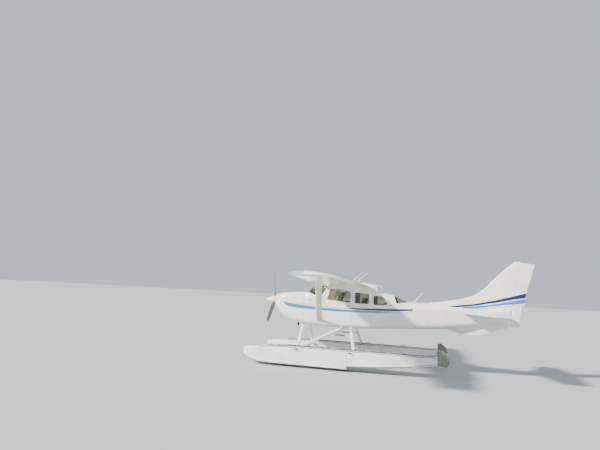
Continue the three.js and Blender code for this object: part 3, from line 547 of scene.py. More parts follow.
def stripe_edge(tree: Tree, along: Socket, line: tuple, span: Point2) -> Socket:
    """The height in metres of a painted line, from how far along its stripe a point is."""
    curve = add_node(tree, "FloatCurve", {"Value": along})
    points = curve.mapping.curves[0].points
    while len(points) > 2:
        points.remove(points[-1])
    wanted = [((x - span[0]) / (span[1] - span[0]),
               (z - STRIPE_FLOOR) / (STRIPE_CEILING - STRIPE_FLOOR)) for x, z in line]
    points[0].location = wanted[0]
    points[1].location = wanted[-1]
    for place in wanted[1:-1]:
        points.new(*place)
    curve.mapping.update()
    reach = (STRIPE_CEILING - STRIPE_FLOOR) * MM
    base = at(0, 0, STRIPE_FLOOR).z
    return add_node(tree, "Math", {0: curve.outputs[0], 1: reach, 2: base},
                    operation="MULTIPLY_ADD").outputs[0]


def stripe_mask(tree: Tree, where: Socket, stripe: Stripe) -> Socket:
    """One where a point lies inside a stripe, with an edge as crisp as masking tape leaves."""
    span = (stripe.upper[0][0], stripe.upper[-1][0])
    split = add_node(tree, "SeparateXYZ", {0: where})
    x, z = split.outputs["X"], split.outputs["Z"]
    low, high = at(span[0], 0, 0).x, at(span[1], 0, 0).x
    along = add_node(tree, "MapRange", {
        "Value": x, "From Min": low, "From Max": high}).outputs["Result"]
    inside = [
        add_node(tree, "Math", {0: x, 1: low}, operation="GREATER_THAN").outputs[0],
        add_node(tree, "Math", {0: x, 1: high}, operation="LESS_THAN").outputs[0],
    ]
    for line, order in ((stripe.upper, (0, 1)), (stripe.lower, (1, 0))):
        edge = stripe_edge(tree, along, line, span)
        pair = (edge, z)
        depth = add_node(tree, "Math", {0: pair[order[0]], 1: pair[order[1]]},
                         operation="SUBTRACT").outputs[0]
        inside.append(add_node(tree, "MapRange", {
            "Value": depth, "From Min": 0.0, "From Max": STRIPE_EDGE}).outputs["Result"])
    if stripe.fade:
        start, end = (at(s, 0, 0).x for s in stripe.fade)
        inside.append(add_node(tree, "MapRange", {
            "Value": x, "From Min": start, "From Max": end, "To Min": 1.0,
            "To Max": 0.0}).outputs["Result"])
    total = inside[0]
    for part in inside[1:]:
        total = add_node(tree, "Math", {0: total, 1: part}, operation="MULTIPLY").outputs[0]
    return total


SEAM_HALF = 0.0022


def seam_mask(tree: Tree, where: Socket, seams: tuple) -> Socket:
    """Fine dark lines where skin panels lap; each seam is (axis letter, place in metres).

    The real gap is under a millimetre, and it is drawn about four wide so that it shows.
    """
    split = add_node(tree, "SeparateXYZ", {0: where})
    total = None
    for axis, place in seams:
        line = add_node(tree, "Math", {
            0: split.outputs[axis], 1: place, 2: SEAM_HALF}, operation="COMPARE").outputs[0]
        total = line if total is None else add_node(
            tree, "Math", {0: total, 1: line}, operation="MAXIMUM").outputs[0]
    return total


# The painted bands. Their outlines were read from the photograph as real sizes.
NAVY, CYAN, PALE = "#0d1764", "#0086c4", "#7fbbe0"
FUSELAGE_STRIPES = (
    Stripe(CYAN,
           ((790, -28), (850, -38), (1018, -68), (1370, -100), (1905, -142), (2580, -172),
            (3109, -181)),
           ((790, -96), (850, -140), (1024, -196), (1375, -232), (1908, -242), (2583, -264),
            (3111, -250))),
    # Painted shade: this band carries the cyan stripe on aft in a darker grey-teal, which is the
    # cyan's tone in the wing's shadow. Only its fade towards the tail is the stripe's own.
    Stripe("#5f93ab",
           ((3106, -180), (3109, -180), (3885, -168), (4591, -146), (4970, -126)),
           ((3106, -252), (3111, -252), (3887, -238), (4592, -212), (4970, -194)),
           fade=(3900, 4970)),
    Stripe("#a3969f",
           ((985, -24), (1822, -84), (2422, -112), (3003, -128)),
           ((985, -40), (1822, -106), (2422, -134), (3003, -150))),
    Stripe(NAVY,
           ((2880, -118), (3041, -116), (3852, -94), (4200, -84), (4591, -66), (4978, -44)),
           ((2880, -126), (3042, -150), (3854, -164), (4202, -152), (4592, -136), (4978, -104))),
    Stripe(NAVY,
           ((6080, 106), (6130, 119), (6747, 200), (7195, 303), (7490, 372), (7783, 456),
            (8074, 543), (8319, 617), (8480, 668)),
           ((6080, 98), (6131, 82), (6747, 137), (7195, 225), (7490, 285), (7783, 357),
            (8073, 419), (8303, 462), (8480, 486))),
    Stripe(CYAN,
           ((6430, 92), (6493, 102), (6897, 146), (7195, 194), (7490, 254), (7783, 326),
            (8073, 391), (8275, 433), (8480, 462)),
           ((6430, 84), (6494, 65), (6884, 74), (7195, 138), (7490, 180), (7783, 227),
            (8072, 265), (8259, 297), (8480, 326))),
    Stripe(PALE,
           ((6674, 38), (6795, 53), (8187, 254), (8460, 296)),
           ((6674, 18), (6795, 30), (8187, 229), (8460, 272))),
)

FRAME_STATIONS = (1472, 2105, 3100, 3690, 4300, 4852, 5430, 6020, 6620, 7180, 7640)
FUSELAGE_SEAMS = tuple(("X", at(s, 0, 0).x) for s in FRAME_STATIONS) + (
    ("Z", at(0, 0, -430).z),)
WING_SEAMS = tuple(("Y", side * place * MM) for side in (PORT, STARBOARD)
                   for place in (600, 1240, 1880, 2560, 3180, 3820, 4460, 5100)) + (
    ("X", at(2560, 0, 0).x),)


class Finishes:
    """Every finish on the aircraft, named for what it is."""

    # Two-pack polyurethane enamel sprayed on aluminium: hard, wet-looking gloss
    livery = Finish("sprayed_white_enamel_with_bands", "#f3f3ef", "#e6e5df", 0.22, coat=0.6,
                    stripes=FUSELAGE_STRIPES, seams=FUSELAGE_SEAMS)
    wing_paint = Finish("sprayed_white_enamel_wing", "#f3f3ef", "#e4e3dd", 0.24, coat=0.5,
                        seams=WING_SEAMS)
    plain_paint = Finish("sprayed_white_enamel", "#f2f2ee", "#e4e3dc", 0.24, coat=0.5)
    float_paint = Finish("sprayed_white_enamel_float", "#eef0ef", "#d9dbd6", 0.3, coat=0.35)
    strut_paint = Finish("sprayed_cream_enamel", "#e2dfd4", "#cfccc0", 0.34, coat=0.25)
    deck_grip = Finish("grit_deck_paint", "#39414b", "#4a525b", 0.85, pattern=Pattern.GRIT,
                       grain_mm=4.0, grain_depth=0.5, blotch_mm=220.0)
    edge_line = Finish("deck_edge_enamel", "#33406e", "#45527d", 0.4)
    blade = Finish("satin_blade_paint", "#5b626b", "#6b727a", 0.4, coat=0.15)
    aluminium = Finish("milled_aluminium", "#c4c7ca", "#adb1b5", 0.34, metallic=1.0,
                       pattern=Pattern.BRUSHED, grain_mm=6.0)
    steel = Finish("brushed_stainless_steel", "#b9bbbd", "#a2a5a8", 0.3, metallic=1.0,
                   pattern=Pattern.BRUSHED, grain_mm=5.0)
    engine = Finish("cast_engine_alloy", "#6f7275", "#54575a", 0.6, metallic=0.7,
                    pattern=Pattern.CAST, grain_mm=2.5, grain_depth=0.4)
    exhaust = Finish("heat_stained_steel", "#77716b", "#4a4541", 0.5, metallic=0.9,
                     pattern=Pattern.CAST, blotch_mm=60.0)
    rubber = Finish("black_moulded_rubber", "#1b1c1d", "#2a2b2c", 0.7, pattern=Pattern.CAST,
                    grain_mm=1.5, grain_depth=0.2)
    trim = Finish("moulded_black_vinyl", "#202225", "#2b2d30", 0.65, pattern=Pattern.CAST,
                  grain_mm=2.0, grain_depth=0.35)
    lining = Finish("moulded_grey_lining", "#c9c6bd", "#bab6ac", 0.7, pattern=Pattern.CAST,
                    grain_mm=2.0, grain_depth=0.2)
    carpet = Finish("looped_grey_carpet", "#4b4e54", "#3c3f45", 0.95, pattern=Pattern.WOVEN,
                    grain_mm=5.0, grain_depth=0.9, blotch_mm=90.0)
    cover = Finish("woven_tan_seat_cloth", "#c2a67e", "#ad9069", 0.85, pattern=Pattern.WOVEN,
                   grain_mm=3.0, grain_depth=0.6, blotch_mm=160.0)
    front_cover = Finish("woven_cream_seat_cloth", "#f6f3ea", "#ebe6da", 0.85,
                         pattern=Pattern.WOVEN, grain_mm=3.0, grain_depth=0.6, blotch_mm=160.0)
    panel_grey = Finish("sprayed_grey_panel_enamel", "#5d6166", "#53575b", 0.55)
    webbing = Finish("woven_belt_webbing", "#2d3138", "#3a3f47", 0.8, pattern=Pattern.WOVEN,
                     grain_mm=2.0, grain_depth=0.5, blotch_mm=50.0)
    red_lens = Finish("moulded_red_lens", "#b3161a", "#8e1014", 0.12, coat=0.6)
    green_lens = Finish("moulded_green_lens", "#128a4a", "#0d6e3a", 0.12, coat=0.6)
    clear_lens = Finish("moulded_clear_lens", "#e9edf0", "#d8dde1", 0.08, coat=0.8)
    dark_lens = Finish("smoked_lamp_glass", "#3a4148", "#2c3238", 0.08, coat=1.0)
    dial = Finish("printed_black_dial", "#111214", "#1b1c1f", 0.35)
    white_mark = Finish("printed_white_mark", "#e8e8e4", "#dadad5", 0.5)
    red_paint = Finish("sprayed_red_enamel", "#b5322c", "#a02a25", 0.35, coat=0.3)
    tip_blue = Finish("sprayed_light_blue_enamel", "#7fb6da", "#70a8cf", 0.26, coat=0.4)
    hatch = Finish("sprayed_grey_enamel", "#8d949a", "#7d848a", 0.45, coat=0.1)
    rudder_plate = Finish("weathered_grey_enamel", "#8a8b83", "#74756d", 0.55,
                          blotch_mm=120.0)
    dark_fitting = Finish("blued_steel", "#4b4d50", "#37393b", 0.5, metallic=0.8,
                          blotch_mm=60.0)


def glass_material(name: str, tint: str, mirror: float) -> bpy.types.Material:
    """Blown acrylic sheet, see-through with a tint and a clear surface gloss."""
    material, tree = blank_material(name)
    where = add_node(tree, "TexCoord").outputs["Object"]
    wave = add_node(tree, "TexNoise", {"Vector": where, "Scale": 5.0, "Detail": 2.0})
    tint_mix = blend_colour(tree, wave.outputs["Fac"], linear(tint), linear("#eef4f0"), 0.4)
    clear = add_node(tree, "BsdfTransparent", {"Color": tint_mix})
    bump = add_node(tree, "Bump", {
        "Height": wave.outputs["Fac"], "Strength": 0.02, "Distance": 0.01})
    gloss = add_node(tree, "BsdfGlossy", {
        "Roughness": 0.09, "Normal": bump.outputs["Normal"]})
    facing = add_node(tree, "LayerWeight", {"Blend": 0.5}).outputs["Facing"]
    steep = add_node(tree, "Math", {0: facing, 1: 5.0}, operation="POWER")
    share = add_node(tree, "MapRange", {
        "Value": steep.outputs[0], "To Min": mirror, "To Max": 0.95})
    mix = add_node(tree, "MixShader", {
        0: share.outputs["Result"], 1: clear.outputs[0], 2: gloss.outputs[0]})
    add_node(tree, "OutputMaterial", {"Surface": mix.outputs[0]})
    return material


def dress(piece: Piece, finish: Finish | bpy.types.Material) -> Piece:
    """Gives a piece its only material."""
    material = finish.build() if isinstance(finish, Finish) else finish
    piece.data.materials.clear()
    piece.data.materials.append(material)
    return piece


def paint_faces(piece: Piece, finish: Finish, chosen: Callable[[Face], bool]) -> None:
    """Gives the faces that a test picks a further material."""
    piece.data.materials.append(finish.build())
    index = len(piece.data.materials) - 1
    for face in piece.data.polygons:
        if chosen(face):
            face.material_index = index


def place(piece: Piece, body: str, *nodes: str) -> Piece:
    """Rides a finished piece on its body, standing for the nodes, and logs it."""
    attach(piece, body)
    if nodes:
        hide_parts(*nodes)
    log.info("%s on %s, %d faces", piece.name, body, len(piece.data.polygons))
    return piece


def fit(piece: Piece, finish: Finish | bpy.types.Material, slot: str, body: str, *nodes: str,
        angle: float | None = None) -> Piece:
    """Dresses a piece and rides it on its body, shaded smooth where an angle is given."""
    if angle is not None:
        smooth(piece, angle)
    dress(piece, finish)
    return place(piece, body, *nodes)


# Fuselage

SECTION_COLUMNS = (
    "half_width", "bottom", "top", "low_corner_width", "low_corner_height",
    "top_corner_width", "top_corner_height")
SECTIONS = (
    (420, 240, -110, 184, 180, 120, 180, 105),
    (435, 292, -170, 194, 215, 150, 210, 115),
    (465, 338, -240, 206, 240, 180, 240, 130),
    (520, 385, -335, 223, 268, 215, 270, 140),
    (605, 430, -432, 243, 285, 255, 300, 150),
    (710, 466, -525, 262, 298, 290, 325, 160),
    (890, 500, -620, 285, 300, 300, 340, 170),
    (1100, 520, -680, 303, 260, 260, 340, 170),
    (1470, 548, -722, 325, 210, 210, 340, 180),
    (1530, 553, -730, 333, 200, 200, 340, 190),
    (1610, 560, -738, 400, 190, 190, 340, 230),
    (1700, 565, -745, 470, 180, 180, 330, 270),
    (1850, 571, -753, 552, 175, 175, 310, 310),
    (2000, 575, -759, 612, 170, 170, 280, 310),
    (2150, 578, -764, 650, 170, 170, 230, 260),
    (2300, 580, -767, 672, 170, 170, 160, 150),
    (2600, 582, -768, 694, 170, 170, 120, 70),
    (3160, 580, -760, 698, 170, 170, 120, 60),
    (3450, 576, -750, 686, 170, 170, 120, 60),
    (3700, 568, -742, 640, 170, 170, 120, 60),
    (3860, 560, -735, 606, 170, 170, 120, 60),
    (3905, 557, -733, 455, 170, 170, 260, 110),
    (4120, 546, -714, 402, 170, 170, 300, 190),
    (4370, 528, -700, 345, 175, 175, 330, 250),
    (4790, 485, -680, 182, 180, 180, 340, 260),
    (5000, 458, -669, 154, 185, 185, 330, 260),
    (5430, 400, -646, 150, 185, 185, 290, 260),
    (5810, 347, -622, 148, 180, 180, 255, 250),
    (6260, 285, -556, 142, 160, 170, 210, 220),
    (6850, 203, -452, 130, 120, 150, 150, 180),
    (7400, 128, -345, 122, 80, 110, 95, 130),
    (7845, 66, -255, 116, 45, 60, 50, 70),
)


SHARP_STATIONS = (424, 429, 435, 442, 452, 3858, 3868, 3880, 3892, 3905)


class FuselageForm:
    """The outer form of the fuselage: flat-sided sections with elliptical corners."""

    corner_steps = 9
    side_steps = 5
    least_radius = 5

    def __init__(self) -> None:
        """Draws one fair line through each column of the sections."""
        self.lines = {name: FairLine([(row[0], row[i + 1]) for row in SECTIONS])
                      for i, name in enumerate(SECTION_COLUMNS)}

    def section(self, station: float) -> dict[str, float]:
        """The section's sizes at a station."""
        return {name: line(station) for name, line in self.lines.items()}

    def ring(self, station: float, inset: float = 0.0) -> list[Vector]:
        """The section's outline as points, moved in from the skin by an inset."""
        s = self.section(station)
        corners = []
        for y, z, start in ((1, -1, -90), (1, 1, 0), (-1, 1, 90), (-1, -1, 180)):
            corner = "low_corner" if z < 0 else "top_corner"
            width = max(s[corner + "_width"] - inset, self.least_radius)
            height = max(s[corner + "_height"] - inset, self.least_radius)
            edge = s["bottom"] + inset if z < 0 else s["top"] - inset
            middle = (y * (s["half_width"] - inset - width), edge - z * height)
            corners.append([(middle[0] + width * math.cos(a), middle[1] + height * math.sin(a))
                            for a in (math.radians(start + 90 * i / self.corner_steps)
                                      for i in range(self.corner_steps + 1))])
        points = []
        for i, corner in enumerate(corners):
            points.extend(corner)
            after = corners[(i + 1) % 4][0]
            for k in range(1, self.side_steps):
                t = k / self.side_steps
                points.append((corner[-1][0] * (1 - t) + after[0] * t,
                               corner[-1][1] * (1 - t) + after[1] * t))
        return [at(station, y, z) for y, z in points]

    def butt(self, station: float, height: float, inset: float = 0.0) -> float:
        """How far out the skin is at a station and height."""
        s = self.section(station)
        wide = s["half_width"] - inset
        top, bottom = s["top"] - inset, s["bottom"] + inset
        over = height - (top - (s["top_corner_height"] - inset))
        under = (bottom + s["low_corner_height"] - inset) - height
        for corner, past in (("top_corner", over), ("low_corner", under)):
            if past > 0:
                width, rise = s[corner + "_width"] - inset, s[corner + "_height"] - inset
                return wide - width + width * math.sqrt(max(1 - (past / rise) ** 2, 0))
        return wide

    def on_skin(self, station: float, height: float, side: int, proud: float = 0.0) -> Vector:
        """A point on the side skin, or proud of it."""
        return at(station, side * (self.butt(station, height) + proud), height)

    def tube(self, name: str, start: float, end: float, step: float,
             inset: float = 0.0) -> Piece:
        """A closed solid length of the form."""
        rows = [self.ring(s, inset) for s in self.stations(start, end, step)]
        return cap_ends(grid_skin(name, rows))

    def shell(self, name: str, start: float, end: float, step: float, outer: float,
              inner: float) -> Piece:
        """A closed length of wall between two insets."""
        stations = self.stations(start, end, step)
        rows = [self.ring(s, outer) for s in stations]
        rows += [self.ring(s, inner) for s in reversed(stations)]
        return grid_skin(name, rows, loop_rows=True)

    def stations(self, start: float, end: float, step: float) -> list[float]:
        """Even stations, with the sections where the form turns sharply put in."""
        count = max(int((end - start) / step), 2) + 1
        sharp = [s for s in SHARP_STATIONS if start < s < end]
        return sorted({*spread(start, end, count), *sharp})


COWL_FRONT, COWL_END = 420, 1465
CABIN_FRONT, CABIN_END = 1475, 4850
TAIL_FRONT, TAIL_END = 4850.3, 7845
ROOF_FRONT, ROOF_END, ROOF_UNDERSIDE = 2300, 3872, 500
WALL, COWL_WALL, TAIL_WALL = 38, 14, 12
PANE_OUTER, PANE_INNER = 12, 18
TOUCH, DOOR_GAP, REACH = 0.3, 6, 700
WINDSHIELD = [(1518, 344, 0), (2058, 168, 30), (2252, 500, 20), (ROOF_FRONT - 8, 560, 0),
              (ROOF_FRONT - 8, 800, 0), (1480, 800, 0)]
REAR_WINDOW = [(4372, 345, 20), (4478, 92, 35), (4800, 150, 20), (4815, 480, 0), (4372, 600, 0)]
SIDE_WINDOWS = {
    "front": [(2262, 108, 30), (2372, 448, 40), (3028, 392, 45), (3028, 45, 45)],
    "middle": [(3165, 38, 40), (3165, 370, 40), (3618, 345, 40), (3618, 38, 40)],
    "rear": [(3762, 20, 40), (3762, 298, 35), (4030, 284, 90), (4205, 40, 60)],
}
DOORWAYS = {
    "pilot": [(2142, -560, 60), (2142, 130, 30), (2296, 462, 30), (3092, 442, 40),
              (3092, -560, 60)],
    "cargo_front": [(3108, -560, 50), (3108, 430, 40), (3686, 400, 30), (3686, -560, 30)],
    "cargo_rear": [(3692, -560, 30), (3692, 396, 30), (4060, 335, 60), (4262, 60, 60),
                   (4262, -560, 60)],
}


@dataclass
class Fuselage:
    """Cowling, cabin, doors, glazing and tail cone."""

    form: FuselageForm
    inlet_inner: float = 160
    inlet_outer: float = 262
    inlet_low: float = -45
    inlet_high: float = 105
    inlet_depth: float = 240
    exit_front: float = 1130
    exit_half_width: float = 290
    seal_radius: float = 5.0

    def build(self) -> None:
        """Makes every piece of the fuselage."""
        self.cowling()
        self.cabin()
        self.doors()
        self.glazing()
        self.tail_cone()

    def side_cut(self, outline: list[tuple], side: int) -> Piece:
        """A cutter through one side wall."""
        low, high = (-REACH, -200) if side == PORT else (200, REACH)
        return side_prism("cutter", outline, low, high)

    def across_cut(self, outline: list[tuple]) -> Piece:
        """A cutter through both walls."""
        return side_prism("cutter", outline, -REACH, REACH)

    def inlet_cut(self, side: int) -> Piece:
        """A cutter for one rounded air inlet."""
        corners = [(self.inlet_inner, self.inlet_low), (self.inlet_outer, self.inlet_low),
                   (self.inlet_outer, self.inlet_high), (self.inlet_inner, self.inlet_high)]
        points = [at(COWL_FRONT - 50, side * y, z) for y, z in rounded(corners, 40)]
        return slab("cutter", points, Vector(((50 + self.inlet_depth) * MM, 0, 0)))

    def cowling(self) -> None:
        """The cowling: a thin closed nose with its inlets, shaft hole and cooling exit."""
        shell = self.form.tube("cowling_skin", COWL_FRONT, COWL_END, 24)
        hollow = self.form.tube("cutter", COWL_FRONT + COWL_WALL, COWL_END + 20, 24, COWL_WALL)
        shaft = rod("cutter", at(COWL_FRONT - 20, 0, 0), at(COWL_FRONT + 60, 0, 0), 0.12,
                    sides=40, guide=UP)
        low, high = at(self.exit_front, -self.exit_half_width, -800), at(
            COWL_END + 10, self.exit_half_width, -560)
        carve(shell, [hollow, self.inlet_cut(PORT), self.inlet_cut(STARBOARD), shaft,
                      block("cutter", low, high)])
        fit(shell, Finishes.livery, "white_paint", AIRFRAME, "cowling", angle=32)

    def wall(self, name: str) -> Piece:
        """The whole cabin wall before anything is cut."""
        return self.form.shell(name, CABIN_FRONT, CABIN_END, 30, 0, WALL)

    def cabin(self) -> None:
        """The cabin's wall with its windows and doorways, and the roof with the wing's root."""
        shell = self.wall("cabin_wall")
        roof_cut = block("cutter", at(ROOF_FRONT - 10, -REACH, ROOF_UNDERSIDE - TOUCH),
                         at(ROOF_END, REACH, 900))
        carve(shell, [
            roof_cut,
            self.across_cut(WINDSHIELD),
            self.across_cut(REAR_WINDOW),
            self.side_cut(DOORWAYS["pilot"], PORT),
            self.side_cut(SIDE_WINDOWS["middle"], PORT),
            self.side_cut(SIDE_WINDOWS["rear"], PORT),
            self.side_cut(SIDE_WINDOWS["front"], STARBOARD),
            self.side_cut(DOORWAYS["cargo_front"], STARBOARD),
            self.side_cut(DOORWAYS["cargo_rear"], STARBOARD),
        ])
        smooth(shell, 32)
        dress(shell, Finishes.livery)
        self.line_inside(shell)
        place(shell, AIRFRAME, "cabin_shell")
        roof = self.form.tube("cabin_roof_skin", ROOF_FRONT - 10 + TOUCH, ROOF_END - TOUCH, 30)
        keep = block("cutter", at(ROOF_FRONT - 50, -REACH, ROOF_UNDERSIDE),
                     at(ROOF_END + 50, REACH, 900))
        carve(roof, [keep], "INTERSECT")
        smooth(roof, 32)
        dress(roof, Finishes.livery)
        paint_faces(roof, Finishes.lining, lambda face: face.normal.z < -0.9)
        place(roof, AIRFRAME, "cabin_roof")

    def line_inside(self, piece: Piece) -> None:
        """Gives the faces on the wall's inner side the cabin lining."""
        def inner(face: Face) -> bool:
            """Whether a face lies deep in the wall, off its rim."""
            x = station_of(face.center)
            z = face.center.z / MM - KEEL_DEPTH
            out = abs(face.center.y) / MM
            s = self.form.section(x)
            deep = self.form.butt(x, z) - out > WALL * 0.8
            return deep and s["bottom"] + WALL * 0.8 < z < s["top"] - WALL * 0.8
        paint_faces(piece, Finishes.lining, inner)

    def doors(self) -> None:
        """The three doors, each the cut-out piece of the wall."""
        plan = (
            ("pilot_door", PORT, "pilot", "front", 2985),
            ("cargo_door_front", STARBOARD, "cargo_front", "middle", 3600),
            ("cargo_door_rear", STARBOARD, "cargo_rear", "rear", 3780),
        )
        for name, side, doorway, window, grip in plan:
            door = self.wall(name + "_skin")
            carve(door, [self.side_cut(shrunk(DOORWAYS[doorway], DOOR_GAP), side)], "INTERSECT")
            carve(door, [self.side_cut(SIDE_WINDOWS[window], side)])
            smooth(door, 32)
            dress(door, Finishes.livery)
            self.line_inside(door)
            place(door, name, name)
            self.door_furniture(name, side, doorway, grip)

    def door_furniture(self, name: str, side: int, doorway: str, grip: float) -> None:
        """A pull handle outside, on its plate at the grip's station, and a rubber seal."""
        middle, half = self.form.on_skin(grip, -60, side, 4), Vector((0.075, 0.006, 0.028))
        plate = block(name + "_grip_plate", middle - half, middle + half)
        bevel(plate, 0.005, 3)
        lever = tube(name + "_lever", [
            middle + Vector((-0.06, 0, 0.004)), middle + Vector((-0.05, side * 0.018, 0.004)),
            middle + Vector((0.05, side * 0.018, 0.004)), middle + Vector((0.06, 0, 0.004))],
            0.007, 12)
        handle = fuse(name + "_outer_handle", [plate, lever])
        fit(handle, Finishes.aluminium, "bare_aluminium", name, angle=40)
        path = [at(x, side * (self.form.butt(x, z) - WALL * 0.5), z)
                for x, z in rounded(shrunk(DOORWAYS[doorway], DOOR_GAP + 1))]
        seal = ring_tube(name + "_seal", path, 0.004, 6)
        fit(seal, Finishes.rubber, "dark_trim", name, angle=60)

    def glazing(self) -> None:
        """Every pane, with a rubber seal round each side window."""
        glass = glass_material("tinted_acrylic_sheet", "#dcdccf", 0.04)
        plan = (
            ("windshield", None, WINDSHIELD, AIRFRAME),
            ("rear_window", None, REAR_WINDOW, AIRFRAME),
            ("door_glass_pilot", PORT, SIDE_WINDOWS["front"], "pilot_door"),
            ("window_port_middle", PORT, SIDE_WINDOWS["middle"], AIRFRAME),
            ("window_port_rear", PORT, SIDE_WINDOWS["rear"], AIRFRAME),
            ("window_starboard_front", STARBOARD, SIDE_WINDOWS["front"], AIRFRAME),
            ("door_glass_cargo_front", STARBOARD, SIDE_WINDOWS["middle"], "cargo_door_front"),
            ("door_glass_cargo_rear", STARBOARD, SIDE_WINDOWS["rear"], "cargo_door_rear"),
        )
        for name, side, outline, body in plan:
            pane = self.form.shell(name + "_pane", CABIN_FRONT, CABIN_END, 30, PANE_OUTER,
                                   PANE_INNER)
            inner = shrunk(outline, TOUCH)
            cutter = self.across_cut(inner) if side is None else self.side_cut(inner, side)
            carve(pane, [cutter], "INTERSECT")
            if name == "windshield":
                carve(pane, [block("cutter", at(CABIN_FRONT + 5, -REACH, 0),
                                   at(ROOF_FRONT - 12, REACH, 900))], "INTERSECT")
            fit(pane, glass, "tinted_glazing", body, name, angle=32)
            if side is not None:
                path = [at(x, side * (self.form.butt(x, z) + 0.5), z)
                        for x, z in rounded(shrunk(outline, 1))]
                seal = ring_tube(name + "_seal", path, self.seal_radius * MM)
                fit(seal, Finishes.rubber, "dark_trim", body, angle=60)

    def tail_cone(self) -> None:
        """The tail cone: a thin shell, open at the cabin."""
        cone = self.form.tube("tail_cone_skin", TAIL_FRONT, TAIL_END, 45)
        hollow = self.form.tube("cutter", TAIL_FRONT - 10, TAIL_END - TAIL_WALL, 60, TAIL_WALL)
        bore = rod("cutter", at(7400, -300, -85), at(7400, 300, -85), 0.06, sides=32)
        carve(cone, [hollow, bore])
        fit(cone, Finishes.livery, "white_paint", AIRFRAME, "tail_cone", angle=32)


# Wing

def taut(points: list[Point2], where: float) -> float:
    """Straight-line value between points of (along, value)."""
    for (x0, y0), (x1, y1) in zip(points, points[1:]):
        if where <= x1:
            return y0 + (y1 - y0) * max(where - x0, 0) / (x1 - x0)
    return points[-1][1]


BEAD_PITCH, BEAD_RISE = 92.0, 3.0
BEAD_START, BEAD_END, BEAD_FADE = 0.1, 0.93, 0.08


def bead(where: float, share: float) -> float:
    """How far a pressed stiffening bead lifts the skin, at a place along the hinge."""
    wave = max(math.cos(2 * math.pi * where / BEAD_PITCH), 0.0) ** 2
    fore = min(max((share - BEAD_START) / BEAD_FADE, 0.0), 1.0)
    aft = min(max((BEAD_END - share) / BEAD_FADE, 0.0), 1.0)
    return BEAD_RISE * wave * (fore * aft)


def hinged_ring(nose: float, length: float, tail_rise: float, where: float,
                edge: float = 3.0) -> list[Point2]:
    """A hinged surface's section from its hinge: a round nose and beaded sides."""
    sides = 10
    upper = []
    for k in range(sides + 1):
        share = 1 - k / sides
        lift = bead(where, share)
        upper.append((length * share,
                      tail_rise * share + edge * share + nose * (1 - share) + lift))
    arc = [(nose * math.cos(a), nose * math.sin(a))
           for a in (math.radians(90 + 180 * i / 10) for i in range(1, 10))]
    lower = [(x, 2 * tail_rise * x / length - z) for x, z in reversed(upper)]
    return upper + arc + lower


